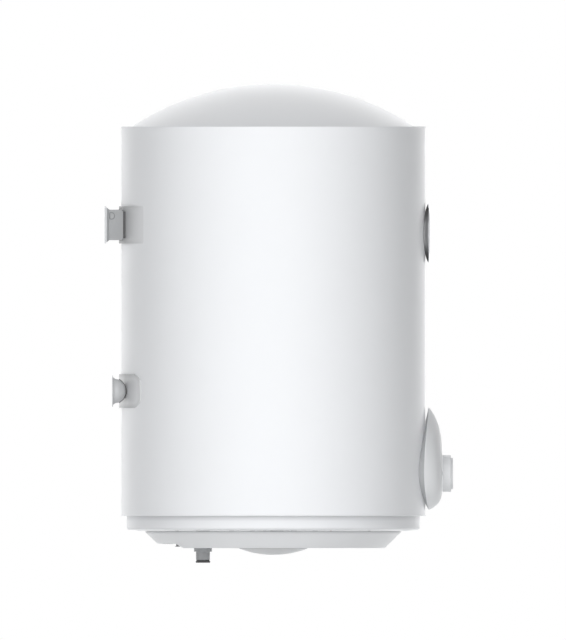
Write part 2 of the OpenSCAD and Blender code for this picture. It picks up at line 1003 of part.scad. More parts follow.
module bracket_nuts() {
    color("gold") at_bracket_studs()
        translate([0, web_r + pan_t + nut_gap, 0]) rotate([-90, 0, 0])
            hex_nut(stud_d / 2 + seat, 0);
}

// A strip bent round the back of the jacket, thinner towards its ends
module pad_strip(half_w, half_h, corner) {
    intersection() {
        on_axis() difference() {
            translate([0, pad_shift, 0])
                bar(pad_r - pad_shift, -half_h - over, half_h + over);
            bar(jacket_r + seat, -half_h - 2 * over, half_h + 2 * over);
        }
        translate([0, over, 0]) rotate([90, 0, 0])
            linear_extrude(jacket_r) round_rectangle(half_w, half_h, corner);
    }
}

module round_rectangle(half_w, half_h, corner) {
    union() {
        square([2 * (half_w - corner), 2 * half_h], center = true);
        square([2 * half_w, 2 * (half_h - corner)], center = true);
        for (side = [-1, 1], level = [-1, 1])
            translate([side * (half_w - corner), level * (half_h - corner)])
                circle(r = corner);
    }
}

module upper_pad() {
    color("lightgray") difference() {
        pad_strip(pad_half_w, pad_half_h, 3);
        bracket_bores(stud_d / 2 + stud_clear);
    }
}

// ---- Lower support ----

module lower_pad() {
    color("lightgray") difference() {
        translate([0, 0, -lower_drop])
            pad_strip(low_half_w, low_half_h, 12);
        spacer_bores(spacer_screw_r + stud_clear);
    }
}

module wall_spacers() {
    nose = cap_radius(spacer_skirt_r, spacer_h - spacer_skirt_h);
    color("whitesmoke") difference() {
        at_spacers() translate([0, -spacer_gap, 0]) turn_forward()
            difference() {
                union() {
                    square([spacer_r, 1.2]);
                    polygon([[0, 1], [spacer_top_r, 1],
                             [spacer_top_r - 1.8, 4],
                             [spacer_skirt_r + 0.2, 7.5],
                             [spacer_skirt_r, spacer_skirt_h],
                             [0, spacer_skirt_h]]);
                    intersection() {
                        translate([0, spacer_h - nose]) circle(r = nose);
                        square_at(0, spacer_r, spacer_skirt_h - 0.2,
                                  spacer_h + over);
                    }
                }
                square_at(-over, spacer_well_r, -over, spacer_well_h);
                square_at(-over, spacer_screw_r + gap, spacer_well_h - over,
                          spacer_h + over);
            }
        on_axis() bar(pad_r + gap, -lower_drop - 2 * spacer_r,
                      -lower_drop + 2 * spacer_r);
    }
}

module spacer_screws() {
    y = -spacer_gap - spacer_well_h;
    color("silver") at_spacers() difference() {
        union() {
            bar_y(spacer_head_r, y, y + spacer_head_h);
            bar_y(spacer_screw_r, y - spacer_screw_l, y + 0.1);
        }
        translate([-4, y + spacer_head_h - over, -0.5]) cube([8, 3, 1]);
        translate([-0.5, y + spacer_head_h - over, -4]) cube([1, 3, 8]);
    }
}

// ---- Control panel ----

// Outline of the panel at angle a: a round foot with a pointed crown
function drop_point(a, w, up, down) =
    sin(a) >= 0
    ? [w * sign(cos(a)) * pow(abs(cos(a)), 1.6), up * sin(a)]
    : [w * cos(a), down * sin(a)];

function edge_depth(x) = edge_y + x * x / edge_curve;

// One ring of the panel's skin; f is the share of the way from the edge in
function face_ring(f, t) = [
    for (i = [0 : panel_steps - 1])
        let (
            a = 360 * i / panel_steps,
            p = drop_point(a, panel_half_w - t, panel_up - 1.8 * t,
                           panel_down - t),
            power = sin(a) >= 0 ? 4 : 5,
            face = panel_y + t,
            y = face + (edge_depth(p[0]) - face) * pow(f, power)
        )
        [p[0] * f, y, knob_z + p[1] * f]
];

function open_ring(t) = [
    for (i = [0 : panel_steps - 1])
        let (a = 360 * i / panel_steps)
        [panel_open_r * cos(a), panel_y + t, knob_z + panel_open_r * sin(a)]
];

function foot_ring(t) = [
    for (i = [0 : panel_steps - 1])
        let (
            a = 360 * i / panel_steps,
            p = drop_point(a, panel_half_w - foot_shrink_w - t,
                           panel_up - foot_shrink_up - t,
                           panel_down - foot_shrink_down - t)
        )
        [p[0], jacket_y(p[0], jacket_r + gap), knob_z + p[1]]
];

module control_panel() {
    shares = [1, 0.97, 0.93, 0.88, 0.8, 0.7, 0.58, 0.42, 0.28];
    outer = [for (f = shares) face_ring(f, 0)];
    inner = [for (k = [len(shares) - 1 : -1 : 0]) face_ring(shares[k], panel_t)];
    rings = concat([foot_ring(0)], outer, [open_ring(0)], [open_ring(panel_t)],
                   inner, [foot_ring(panel_t)]);
    n = panel_steps;
    m = len(rings);
    color("gainsboro") difference() {
        polyhedron(
            points = [for (ring = rings) for (p = ring) p],
            faces = [
                for (j = [0 : m - 1], i = [0 : n - 1])
                    let (
                        a = j * n + i,
                        b = j * n + (i + 1) % n,
                        c = ((j + 1) % m) * n + (i + 1) % n,
                        d = ((j + 1) % m) * n + i
                    )
                    each [[a, b, c], [a, c, d]]
            ]
        );
        translate([0, 0, knob_z + lens_up])
            bar_y(lens_r + seat, panel_y - 10, panel_y + 20);
    }
}

module panel_base() {
    color("gray") difference() {
        translate([-base_w, base_y, knob_z - base_up])
            cube([2 * base_w, 20, 2 * base_up]);
        on_axis() bar(jacket_r + gap, knob_z - 2 * base_up,
                      knob_z + 2 * base_up);
        thermostat_opening(gap);
    }
}

module thermostat_body() {
    color("ivory") difference() {
        union() {
            translate([-stat_w, base_y - 9, knob_z - stat_hh])
                cube([2 * stat_w, stat_rear_y - base_y + 9, 2 * stat_hh]);
            translate([-stat_w - 9, base_y - 1.2, knob_z - 8])
                cube([2 * stat_w + 18, 1.2, 16]);
            at_knob() bar_y(bush_r, base_y - 16, base_y - 8);
        }
        at_knob() bar_y(spindle_d / 2 + spindle_fit, base_y - 20, base_y + 1);
    }
}

module thermostat_spindle() {
    color("silver") at_knob()
        bar_y(spindle_d / 2, knob_y - knob_h + 4, base_y + 0.5);
}

module thermostat_knob() {
    skirt = knob_skirt_h;
    disc_r = knob_r - disc_in;
    color("whitesmoke") translate([0, knob_y, knob_z]) turn_forward()
        difference() {
            polygon([[0, 0], [knob_r - 1, 0], [knob_r, 1.2],
                     [knob_r, skirt - 0.8], [knob_r - 0.8, skirt],
                     [disc_r, skirt], [disc_r, knob_h - 1.2],
                     [disc_r - 1.2, knob_h], [0, knob_h]]);
            difference() {
                square_at(-over, knob_r - 2.4, -over, skirt - 2.2);
                square_at(-over, 7, 0.6, skirt);
            }
            square_at(-over, spindle_d / 2 + seat, -over, knob_h - 3.7);
        }
}

module indicator_lens() {
    color("orangered") translate([0, 0, knob_z + lens_up]) union() {
        bar_y(lens_r, panel_face_y(lens_up) - 1, panel_face_y(lens_up) + 5);
        bar_y(lens_r + 1.5, panel_face_y(lens_up) + 4.2,
              panel_face_y(lens_up) + 5.8);
    }
}

// Depth of the panel's face on its middle line, above the knob
function panel_face_y(up) =
    panel_y + (edge_y - panel_y) * pow(up / panel_up, 4);

module indicator_lamp() {
    color("orange") translate([0, 0, knob_z + lens_up])
        bar_y(3, panel_face_y(lens_up) + 5.9, front_y - gap);
}

// A round lead swept along a list of points
module lead(points, r) {
    sides = 8;
    n = len(points);
    tangents = [
        for (i = [0 : n - 1])
            let (
                a = points[max(i - 1, 0)],
                b = points[min(i + 1, n - 1)]
            )
            (b - a) / norm(b - a)
    ];
    rings = [
        for (i = [0 : n - 1])
            let (
                t = tangents[i],
                u = cross(t, [1, 0.2, 0.1]) / norm(cross(t, [1, 0.2, 0.1])),
                v = cross(t, u)
            )
            for (k = [0 : sides - 1])
                points[i] + r * (cos(360 * k / sides) * u + sin(360 * k / sides) * v)
    ];
    polyhedron(
        points = rings,
        faces = concat(
            [[for (k = [sides - 1 : -1 : 0]) k]],
            [for (j = [0 : n - 2], k = [0 : sides - 1])
                let (
                    a = j * sides + k,
                    b = j * sides + (k + 1) % sides
                )
                each [[a, b, b + sides], [a, b + sides, a + sides]]],
            [[for (k = [0 : sides - 1]) (n - 1) * sides + k]]
        )
    );
}

// A quarter bend in the plane X = x, from straight down to straight back
function bend(x, y, z, r) = [
    for (a = [0 : 15 : 90]) [x, y + r * (1 - cos(a)), z - r * sin(a)]
];

module thermostat_capillary() {
    x = 8;
    mouth_y = axis_y + pocket_back;
    route = concat(
        [[x, duct_y - 3, stat_foot_z - gap], [x, duct_y - 3, stat_foot_z - 4],
         [x, duct_y, stat_foot_z - stat_drop]],
        bend(x, duct_y, run_z + lead_turn, lead_turn),
        [[x, axis_y - flange_r - 20, run_z],
         [x, axis_y - flange_r - 8, under_z - 10],
         [2 * x, axis_y - anode_front, under_z - cutout_h - stat_drop],
         [2 * x, axis_y + leg_back + 2, under_z - cutout_h - stat_drop],
         [5, mouth_y - 8, under_z - cutout_h - 5],
         [0, mouth_y, under_z - stat_drop],
         [0, mouth_y, under_z - 2]]
    );
    color("peru") lead(route, 0.9);
}

module thermostat_bulb() {
    color("peru") on_axis() translate([0, pocket_back, 0])
        bar(pocket_r - pocket_t - 0.4, under_z - 1.9,
            under_z - 1.9 + bulb_l);
}

module wiring_loom() {
    x = 20;
    route = concat(
        [[x - 3, duct_y - 3, stat_foot_z - gap],
         [x - 3, duct_y - 3, stat_foot_z - 4],
         [x, duct_y, stat_foot_z - stat_drop]],
        bend(x, duct_y, run_z + lead_turn, lead_turn),
        [[x + 20, axis_y - ring_mouth_r - 10, run_z],
         [ring_mouth_r / 2, axis_y - ring_mouth_r + 30, run_z],
         [block_x - loom_bow, axis_y - ring_mouth_r / 2 + 10, run_z],
         [block_x - block_w - 5, axis_y - block_w, run_z - 3],
         [block_x - block_w + 3, axis_y - 3, wire_z + 3],
         [block_x - 5, axis_y, wire_z],
         [block_x - seat, axis_y, wire_z]]
    );
    color("dimgray") lead(route, 1.9);
}

// Two leads from the terminal block to the heating tube
module element_leads() {
    color("dimgray") for (side = [-1, 1]) lead([
        [block_x - seat, axis_y + side * block_pitch, wire_z],
        [block_x - 6, axis_y + side * block_pitch, wire_z],
        [block_x - block_w, axis_y + side * (block_pitch + 3), wire_z - 3],
        [block_x - lead_bow_in, axis_y + side * lead_bow, wire_z - 5],
        [element_half + loom_bow - side * 3, axis_y + side * (lead_bow + 6),
         wire_z - 7],
        [element_half + 8 + side * 2, axis_y + side * lead_bow, wire_z - 7],
        [side * (element_half - 9) + 9, axis_y + leg_back + side * 16, pin_z - 6],
        [side * element_half, axis_y + leg_back + side * 3, pin_z - 6],
        [side * element_half, axis_y + leg_back, pin_z - 3],
        [side * element_half, axis_y + leg_back, pin_z - seat]
    ], 1.4);
}

// ---- Thermometer ----

module gauge_case() {
    back = can_r * can_r / jacket_r / 2 + 9.5;
    depth = gauge_edge_y - front_y;
    color("silver") difference() {
        union() {
            difference() {
                at_gauge() translate([0, front_y + back, 0]) turn_forward()
                    polygon([
                        [0, 0], [gauge_neck_r, 0],
                        [gauge_neck_r, back + 0.8],
                        [gauge_r - 1.6, back - depth - 1.4],
                        [gauge_r, back - depth],
                        [0, back - depth]
                    ]);
                on_axis() bar(jacket_r + gap, gauge_z - 2 * gauge_r,
                              gauge_z + 2 * gauge_r);
            }
            at_gauge() bar_y(can_r, gauge_floor_y, front_y + can_depth);
        }
        at_gauge() bar_y(dial_r + 0.2, gauge_edge_y - 5, gauge_floor_y);
        at_gauge() bar_y(can_r - can_t, gauge_floor_y + 1, front_y + foam_t);
        at_gauge() bar_y(arbor_r + gap, gauge_floor_y - over, gauge_floor_y + 2);
    }
}

module gauge_bezel() {
    inner_r = lens_edge_r + seat;
    color("silver") at_gauge() translate([0, gauge_edge_y, 0]) turn_forward()
        polygon([[inner_r, 0], [gauge_r, 0], [gauge_r, 0.4],
                 [gauge_r - 1.2, 1.3], [gauge_r - 2.6, 1.6],
                 [inner_r, 1.3]]);
}

module gauge_movement() {
    color("tan") at_gauge() difference() {
        bar_y(coil_r, gauge_floor_y + 1, front_y + can_depth - 2);
        bar_y(arbor_r + arbor_fit, gauge_floor_y - 5, front_y + can_depth - 5);
    }
}

module gauge_dial() {
    color("white") at_gauge() difference() {
        bar_y(dial_r, gauge_floor_y - 0.6, gauge_floor_y);
        bar_y(arbor_r + gap, gauge_floor_y - 5, gauge_floor_y + 5);
    }
}

module gauge_needle() {
    y = gauge_floor_y - 1.1;
    color("black") at_gauge() rotate([0, needle_rest, 0]) union() {
        bar_y(arbor_r, y - 0.8, front_y + can_depth - 6);
        bar_y(4, y - 0.8, y);
        translate([0, y, 0]) rotate([90, 0, 0]) linear_extrude(0.5)
            polygon([[-1.8, -9], [1.8, -9], [0.5, needle_l], [-0.5, needle_l]]);
    }
}

module gauge_lens() {
    color("lightcyan", 0.4) at_gauge() translate([0, gauge_edge_y, 0])
        turn_forward()
            polygon([[0, 0], [lens_edge_r, 0], [lens_edge_r, 0.8],
                     [lens_edge_r - 8, 1.4], [lens_edge_r - 20, 1.8],
                     [0, 1.9]]);
}

outer_jacket();
top_cover();
lower_ring();
foam_insulation();
tank_shell();
tank_top_end();
tank_bottom_end();
tank_flange();
flange_gasket();
element_flange();
flange_studs();
flange_nuts();
heating_element();
element_terminals();
thermostat_pocket();
anode_rod();
anode_nut();
safety_cutout();
reset_button();
cold_inlet_nipple();
hot_outlet_nipple();
cold_diffuser();
hot_dip_pipe();
nipple_collars();
nipple_liners();
service_cover();
access_cap();
cover_screws();
terminal_block();
cord_gland();
upper_bracket();
bracket_studs();
bracket_nuts();
upper_pad();
lower_pad();
wall_spacers();
spacer_screws();
control_panel();
panel_base();
thermostat_body();
thermostat_spindle();
thermostat_knob();
thermostat_bulb();
thermostat_capillary();
indicator_lens();
indicator_lamp();
wiring_loom();
element_leads();
gauge_case();
gauge_bezel();
gauge_movement();
gauge_dial();
gauge_needle();
gauge_lens();
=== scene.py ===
# %% [markdown]
# # A wall-hung tank water heater
#
# The heater is a white drum that hangs on a wall bracket. Its solids come
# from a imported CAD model, and this file dresses them: each sheet, moulding
# and fitting that can be seen is modelled again with softer edges and finer
# detail, and every piece gets a finish made of nodes.
#
# Z points up, the front of the heater faces -Y, and the wall is the plane
# Y = 0. All lengths are in metres, so a millimetre gets a name of its own.

# %% Load the frame
import math

import bpy
import bmesh
from mathutils import Matrix, Vector


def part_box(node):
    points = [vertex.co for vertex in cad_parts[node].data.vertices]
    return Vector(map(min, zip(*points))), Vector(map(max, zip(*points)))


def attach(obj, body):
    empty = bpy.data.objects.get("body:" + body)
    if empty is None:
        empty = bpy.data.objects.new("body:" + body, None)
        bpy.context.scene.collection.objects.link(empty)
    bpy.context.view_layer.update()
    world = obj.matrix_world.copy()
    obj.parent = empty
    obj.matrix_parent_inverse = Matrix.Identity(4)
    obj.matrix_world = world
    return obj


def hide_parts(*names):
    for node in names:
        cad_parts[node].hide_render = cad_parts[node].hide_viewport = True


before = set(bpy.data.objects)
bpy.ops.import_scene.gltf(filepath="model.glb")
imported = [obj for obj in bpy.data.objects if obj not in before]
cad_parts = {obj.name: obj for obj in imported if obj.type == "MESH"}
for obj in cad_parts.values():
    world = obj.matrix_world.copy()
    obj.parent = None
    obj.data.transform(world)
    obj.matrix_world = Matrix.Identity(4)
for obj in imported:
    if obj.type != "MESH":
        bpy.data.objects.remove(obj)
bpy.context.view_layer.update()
MM = 0.001
print("solids in the frame:", len(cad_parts))

# %% [markdown]
# ## The camera
#
# The heater is seen exactly from its side, with no ellipse at its rim or
# foot, so parallel projection is the right choice. A perspective camera
# would show a little of the top or of the underside. The camera stands on
# the -X side and looks along +X.

# %% Camera
bpy.ops.object.camera_add(location=(-3.0, -0.26432, -0.14083),
                          rotation=(math.pi / 2, 0, -math.pi / 2))
camera = bpy.context.object
camera.name = "side_camera"
camera.data.type = "ORTHO"
camera.data.ortho_scale = 0.94771
camera.data.clip_start, camera.data.clip_end = 0.1, 20
bpy.context.scene.camera = camera
print("view height:", round(camera.data.ortho_scale, 4))

# %% [markdown]
# ## Sizes
#
# Every size below is read from a solid's box where it can be. What a box
# doesn't tell, such as a step or a wall, is written once, under the name
# that the part's source gives it.

# %% Sizes
def low(node):
    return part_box(node)[0]


def high(node):
    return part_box(node)[1]


def middle(node):
    return (low(node) + high(node)) / 2


def half_width(node):
    return (high(node).x - low(node).x) / 2


REACH = 20 * MM     # how far a cutter stands out of what it cuts
DRUM_STEPS = 240    # faces round everything as wide as the drum
lip_out, lip_h = 0.9 * MM, 1.6 * MM
sheet_t = 0.8 * MM
axis_y = middle("outer_jacket").y
on_axis = Vector((0, axis_y, 0))
jacket_r = half_width("outer_jacket") - lip_out
foot_z, rim_z = low("outer_jacket").z, high("outer_jacket").z
front_y = axis_y - jacket_r
cover_r = jacket_r - 15 * MM
ring_r = jacket_r - 8 * MM
ring_z = low("lower_ring").z
ring_mouth_r = ring_r - 77 * MM
service_r = half_width("service_cover")
service_face_r = service_r - 24 * MM
service_z, face_z = high("service_cover").z, low("service_cover").z
step_back = service_face_r - 20.3 * MM
step_slope, step_h = 11.5 * MM, 6.4 * MM
step_z = face_z + step_h
web_r = jacket_r + 3.8 * MM
cover_screw_x, cover_screw_y = 60 * MM, step_back - 2.7 * MM
nipple_x, nipple_y = 50 * MM, middle("cold_inlet_nipple").y
knob_z = middle("thermostat_knob").z
knob_front_y = low("thermostat_knob").y
lens_z = middle("indicator_lens").z
gauge_z = middle("gauge_dial").z
print("drum radius %.4f, axis at y %.4f" % (jacket_r, axis_y))

# %% [markdown]
# ## Helpers for modelling
#
# Most of the heater was drawn, spun or pressed, so most pieces are turned:
# one vertex is extruded along an outline and the outline is spun about an
# axis. Corners are rounded in the outline, where they cost a few points
# and catch the light as real bends do.

# %% Helpers
def put_down():
    """Leaves edit mode and deselects everything."""
    if bpy.context.object and bpy.context.object.mode != "OBJECT":
        bpy.ops.object.mode_set(mode="OBJECT")
    bpy.ops.object.select_all(action="DESELECT")


def take(piece):
    put_down()
    piece.select_set(True)
    bpy.context.view_layer.objects.active = piece
    return piece


def named(name):
    piece = bpy.context.object
    piece.name = piece.data.name = name
    return piece


def smooth(piece, angle=32):
    take(piece)
    bpy.ops.object.shade_smooth_by_angle(angle=math.radians(angle))
    return piece


def edited(piece, operator, **settings):
    """Runs one mesh operator on the whole of a piece."""
    take(piece)
    bpy.ops.object.mode_set(mode="EDIT")
    bpy.ops.mesh.select_all(action="SELECT")
    operator(**settings)
    bpy.ops.object.mode_set(mode="OBJECT")
    return piece


def faced_out(piece):
    return edited(piece, bpy.ops.mesh.normals_make_consistent, inside=False)


def merged(piece, distance=1e-6):
    return edited(piece, bpy.ops.mesh.remove_doubles, threshold=distance)


def applied(piece, kind, **settings):
    """Adds one modifier, sets it and applies it."""
    take(piece)
    modifier = piece.modifiers.new(kind.lower(), kind)
    for key, value in settings.items():
        setattr(modifier, key, value)
    bpy.ops.object.modifier_apply(modifier=modifier.name)
    return piece


def bevelled(piece, width, segments, angle):
    return applied(piece, "BEVEL", width=width, segments=segments,
                   limit_method="ANGLE", angle_limit=math.radians(angle),
                   use_clamp_overlap=True)


def thickened(piece, thickness, even=True):
    """Gives an outer face its wall, inwards."""
    return applied(piece, "SOLIDIFY", thickness=thickness, offset=-1,
                   use_even_offset=even)


def settle(piece):
    """Moves a piece's place into its mesh, so its object is at the origin."""
    take(piece)
    bpy.ops.object.transform_apply(location=True, rotation=True, scale=True)
    return piece


def cut(piece, cutter, how="DIFFERENCE"):
    applied(piece, "BOOLEAN", operation=how, object=cutter, solver="EXACT")
    bpy.data.objects.remove(cutter)
    return piece


def copied(piece, name):
    put_down()
    twin = piece.copy()
    twin.data = piece.data.copy()
    twin.name = twin.data.name = name
    bpy.context.scene.collection.objects.link(twin)
    return twin


def joined(pieces, name):
    take(pieces[0])
    for piece in pieces[1:]:
        piece.select_set(True)
    bpy.ops.object.join()
    return named(name)


def mm(r, d, *offsets):
    """Outline points that lie some millimetres from the point (r, d)."""
    return [(r + a * MM, d + b * MM) for a, b in offsets]


def rounded(points, radii, steps=5):
    """An outline whose corners are arcs; radii has some corners' radii."""
    line = []
    for i, point in enumerate(points):
        here = Vector(point)
        r = radii.get(i, 0) * MM
        if r == 0 or i in (0, len(points) - 1):
            line.append(tuple(here))
            continue
        a = (Vector(points[i - 1]) - here).normalized()
        b = (Vector(points[i + 1]) - here).normalized()
        half = a.angle(b) / 2
        reach = r / math.tan(half)
        centre = here + (a + b).normalized() * (r / math.sin(half))
        first, last = here + a * reach - centre, here + b * reach - centre
        for k in range(steps + 1):
            turn = first.lerp(last, k / steps).normalized() * r
            line.append(tuple(centre + turn))
    return line


def ball_r(r, rise):
    """Radius of the ball that a cap of this radius and rise belongs to."""
    return (r * r + rise * rise) / (2 * rise)


def arc(ball, r, steps):
    """(radius, drop) points on a ball, from its middle out to radius r."""
    angles = [math.asin(r / ball) * k / steps for k in range(steps + 1)]
    return [(ball * math.sin(a), ball - ball * math.cos(a)) for a in angles]


def turned(name, outline, centre, axis="Z", steps=128, closed=False):
    """Spins an outline of (radius, distance along the axis) points.

    Along Z the distance is a height. Along Y it is measured forward from
    the centre, towards the front of the heater."""
    centre = Vector(centre)

    def place(point):
        r, d = point
        return centre + Vector((r, 0, d) if axis == "Z" else (r, -d, 0))

    put_down()
    bpy.ops.mesh.primitive_plane_add(size=MM, location=(0, 0, 0))
    piece = named(name)
    bpy.ops.object.mode_set(mode="EDIT")
    bpy.ops.mesh.select_all(action="SELECT")
    bpy.ops.mesh.merge(type="CENTER")
    bpy.ops.transform.translate(value=place(outline[0]))
    route = list(outline) + ([outline[0]] if closed else [])
    for a, b in zip(route, route[1:]):
        bpy.ops.mesh.extrude_region_move(
            TRANSFORM_OT_translate={"value": place(b) - place(a)})
    merged(piece, 1e-7)
    edited(piece, bpy.ops.mesh.spin, steps=steps, angle=2 * math.pi,
           center=centre, axis=(0, 0, 1) if axis == "Z" else (0, 1, 0))
    return smooth(faced_out(merged(piece)))


def rod(r, a, b, sides=64):
    """A plain cylinder from a to b, used as a cutter."""
    a, b = Vector(a), Vector(b)
    put_down()
    bpy.ops.mesh.primitive_cylinder_add(vertices=sides, radius=r,
                                        depth=(b - a).length,
                                        location=(a + b) / 2)
    tool = named("rod")
    tool.rotation_euler = (b - a).to_track_quat("Z", "Y").to_euler()
    return settle(tool)


def drilled(piece, r, a, b, sides=64):
    return cut(piece, rod(r, a, b, sides))


def block(name, a, b):
    """A plain box between two corners, given in any order."""
    a, b = Vector(a), Vector(b)
    put_down()
    bpy.ops.mesh.primitive_cube_add(size=1, location=(a + b) / 2)
    tool = named(name)
    tool.scale = [abs(side) for side in b - a]
    return settle(tool)


def eased_copy(node, name, width, angle=35):
    """A copy of a CAD solid whose triangles are merged and edges rounded."""
    piece = copied(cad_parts[node], name)
    for key in list(piece.keys()):
        del piece[key]
    piece.parent = None
    piece.matrix_world = Matrix.Identity(4)
    piece.data.materials.clear()
    merged(piece)
    edited(piece, bpy.ops.mesh.dissolve_limited,
           angle_limit=math.radians(0.3))
    edited(piece, bpy.ops.mesh.customdata_custom_splitnormals_clear)
    return smooth(bevelled(piece, width, 3, angle))


def move_points(piece, rule):
    """Moves every vertex to where rule(vertex position) says."""
    for vertex in piece.data.vertices:
        vertex.co = rule(vertex.co)
    piece.data.update()
    return piece


def shift(piece, by):
    by = Vector(by)
    return move_points(piece, lambda co: co + by)


def swing(piece, angle, about=(0, 0, 0), axis="Z"):
    """Turns a mesh about a line through a point."""
    about = Vector(about)
    turn = Matrix.Rotation(math.radians(angle), 3, axis)
    return move_points(piece, lambda co: about + turn @ (co - about))


print("helpers ready")

# %% [markdown]
# ## Helpers for finishes
#
# A finish is a small graph of nodes. The first class wraps one socket and
# overloads arithmetic, so that `mask * 0.5` adds the Math node it needs.
# The second adds nodes by their type, values and settings.

# %% Finish helpers
class Flow:
    """A number that runs through a finish; arithmetic on it adds nodes."""

    def __init__(self, finish, socket):
        self.finish, self.socket = finish, socket

    def through(self, operation, other=0.0):
        return self.finish.node("ShaderNodeMath", {0: self, 1: other},
                                operation=operation)

    def __add__(self, other):
        return self.through("ADD", other)

    __radd__ = __add__

    def __sub__(self, other):
        return self.through("SUBTRACT", other)

    def __mul__(self, other):
        return self.through("MULTIPLY", other)

    __rmul__ = __mul__

    def __gt__(self, other):
        return self.through("GREATER_THAN", other)

    def __lt__(self, other):
        return self.through("LESS_THAN", other)

    def absolute(self):
        return self.through("ABSOLUTE")

    def root(self):
        return self.through("SQRT")

    def clipped(self):
        """The number, kept between 0 and 1."""
        flow = self.through("ADD")
        flow.socket.node.use_clamp = True
        return flow

    def ramp(self, start, length):
        """0 up to start, and from there up to 1 over a length."""
        return ((self - start) * (1 / length)).clipped()


class Finish:
    """One material, built node by node."""

    def __init__(self, name, slot):
        self.material = bpy.data.materials.new(name)
        self.slot = slot
        self.material.use_nodes = True
        self.tree = self.material.node_tree
        self.surface = self.tree.nodes["Principled BSDF"]
        self.place = self.node("ShaderNodeTexCoord", out="Object")

    def feed(self, socket, value):
        """Links a flow to a socket, or sets it to a number or colour."""
        if isinstance(value, Flow):
            self.tree.links.new(value.socket, socket)
        elif isinstance(value, tuple) and len(socket.default_value) == 4:
            socket.default_value = (*value, 1)
        else:
            socket.default_value = value

    def node(self, kind, values=None, out=0, **settings):
        made = self.tree.nodes.new(kind)
        for key, value in settings.items():
            setattr(made, key, value)
        for key, value in (values or {}).items():
            self.feed(made.inputs[key], value)
        return Flow(self, made.outputs[out])

    def noise(self, scale, detail=2.0, rough=0.5, warp=0.0, place=None):
        return self.node("ShaderNodeTexNoise",
                         {"Vector": place or self.place, "Scale": scale,
                          "Detail": detail, "Roughness": rough,
                          "Distortion": warp})

    def cells(self, scale):
        return self.node("ShaderNodeTexVoronoi",
                         {"Vector": self.place, "Scale": scale})

    def cloud(self, scale=30.0):
        """A soft cloudy mask, the same everywhere on the piece."""
        return self.noise(scale, 4.0, 0.6)

    def along(self, axis):
        """One of the piece's own coordinates, in metres."""
        return self.node("ShaderNodeSeparateXYZ", {"Vector": self.place},
                         axis)

    def mix(self, mask, first, second):
        """Two colours by a mask from 0 to 1."""
        return self.node("ShaderNodeMix", {0: mask, 6: first, 7: second}, 2,
                         data_type="RGBA")

    def set(self, **values):
        for key, value in values.items():
            self.feed(self.surface.inputs[key.replace("_", " ")], value)
        return self

    def relief(self, height, depth):
        """A bump whose height of 1 stands for a depth in metres."""
        bump = self.node("ShaderNodeBump",
                         {"Height": height, "Distance": depth,
                          "Strength": 1.0}, out="Normal")
        return self.set(Normal=bump)


def shade(colour, share):
    """A darker colour, or a paler one where the share is over 1."""
    return tuple(min(1.0, c * share) for c in colour)


print("finish helpers ready")

# %% [markdown]
# ## Finishes: the white sheet and the white mouldings
#
# The drum is steel sheet with a satin powder coat. Powder flows before it
# sets, so the surface keeps a very fine orange peel and a broader, softer
# waviness of the sheet below. Both go into one Bump, far shallower than
# they sound: a tenth of a millimetre is already a dent.

# %% White finishes
def powder_coat(name, slot, colour):
    f = Finish(name, slot)
    peel = f.noise(420.0, 3.0, 0.55)
    wave = f.noise(9.0, 1.0, 0.4)
    cloud = f.cloud(22.0)
    f.set(Base_Color=f.mix(cloud, shade(colour, 0.985), colour),
          Roughness=0.5 + 0.06 * cloud, IOR=1.25,
          Coat_Weight=0.4, Coat_Roughness=0.5, Coat_IOR=1.35)
    return f.relief(0.02 * peel + wave, 0.12 * MM)


def moulded(name, slot, colour, roughness=0.38, grain=900.0, depth=0.012,
            ior=1.47):
    """Injection-moulded plastic: fine spark texture and a faint flow."""
    f = Finish(name, slot)
    spark = f.noise(grain, 4.0, 0.6)
    flow = f.noise(14.0, 3.0, 0.6, 0.8)
    f.set(Base_Color=f.mix(flow, colour, shade(colour, 1.03)),
          Roughness=roughness + 0.07 * spark, IOR=ior)
    return f.relief(spark, depth * MM)


SHELL = (0.765, 0.776, 0.789)
PANEL = (0.77, 0.782, 0.795)
# Painted shade: the ring's white is a little darker than the drum's enamel.
SHADED_RING_WHITE = (0.762, 0.774, 0.792)
white_enamel = powder_coat("white_enamel", "white_enamel",
                           (0.80, 0.813, 0.832))
ring_white = powder_coat("ring_enamel", "white_enamel", SHADED_RING_WHITE)
white_shell = moulded("white_moulding", "white_plastic", SHELL, 0.5, ior=1.3)
# Painted shade: the cap is the cover's white plastic, made darker for the
# shade under the heater.
cap_shaded_white = moulded("cap_moulding", "white_plastic", (0.63, 0.64, 0.65), 0.5,
                    ior=1.3)
spacer_grey = moulded("spacer_moulding", "white_plastic",
                      (0.475, 0.482, 0.491), 0.34, 900.0, 0.01)
knob_white = moulded("knob_moulding", "white_plastic",
                     (0.74, 0.751, 0.764), 0.45, 1200.0, 0.006, 1.2)
panel_grey = moulded("panel_moulding", "grey_plastic", PANEL, 0.5, 1000.0,
                     0.01, 1.2)
print("white finishes:", len(bpy.data.materials))

# %% [markdown]
# ## Finishes: metals
#
# Zinc plating has a fine crystalline spangle under a thin passivation,
# drawn steel has streaks along its length, and cast magnesium is dull and
# pitted. The bracket and the straps are painted over pressed sheet.

# %% Metal finishes
def plated(name, slot, colour, roughness=0.32):
    f = Finish(name, slot)
    spangle, cloud = f.cells(700.0), f.cloud(60.0)
    f.set(Base_Color=f.mix(cloud, shade(colour, 0.72), colour), Metallic=1.0,
          Roughness=roughness + 0.12 * spangle + 0.1 * cloud)
    return f.relief(f.noise(1500.0), 0.006 * MM)


def drawn(name, slot, colour, roughness=0.3, along=(900.0, 900.0, 25.0)):
    f = Finish(name, slot)
    stretched = f.node("ShaderNodeMapping",
                       {"Vector": f.place, "Scale": along})
    streak = f.noise(1.0, 3.0, 0.6, 0.0, stretched)
    f.set(Base_Color=f.mix(streak, shade(colour, 0.8), colour), Metallic=1.0,
          Roughness=roughness + 0.15 * streak)
    return f.relief(streak, 0.008 * MM)


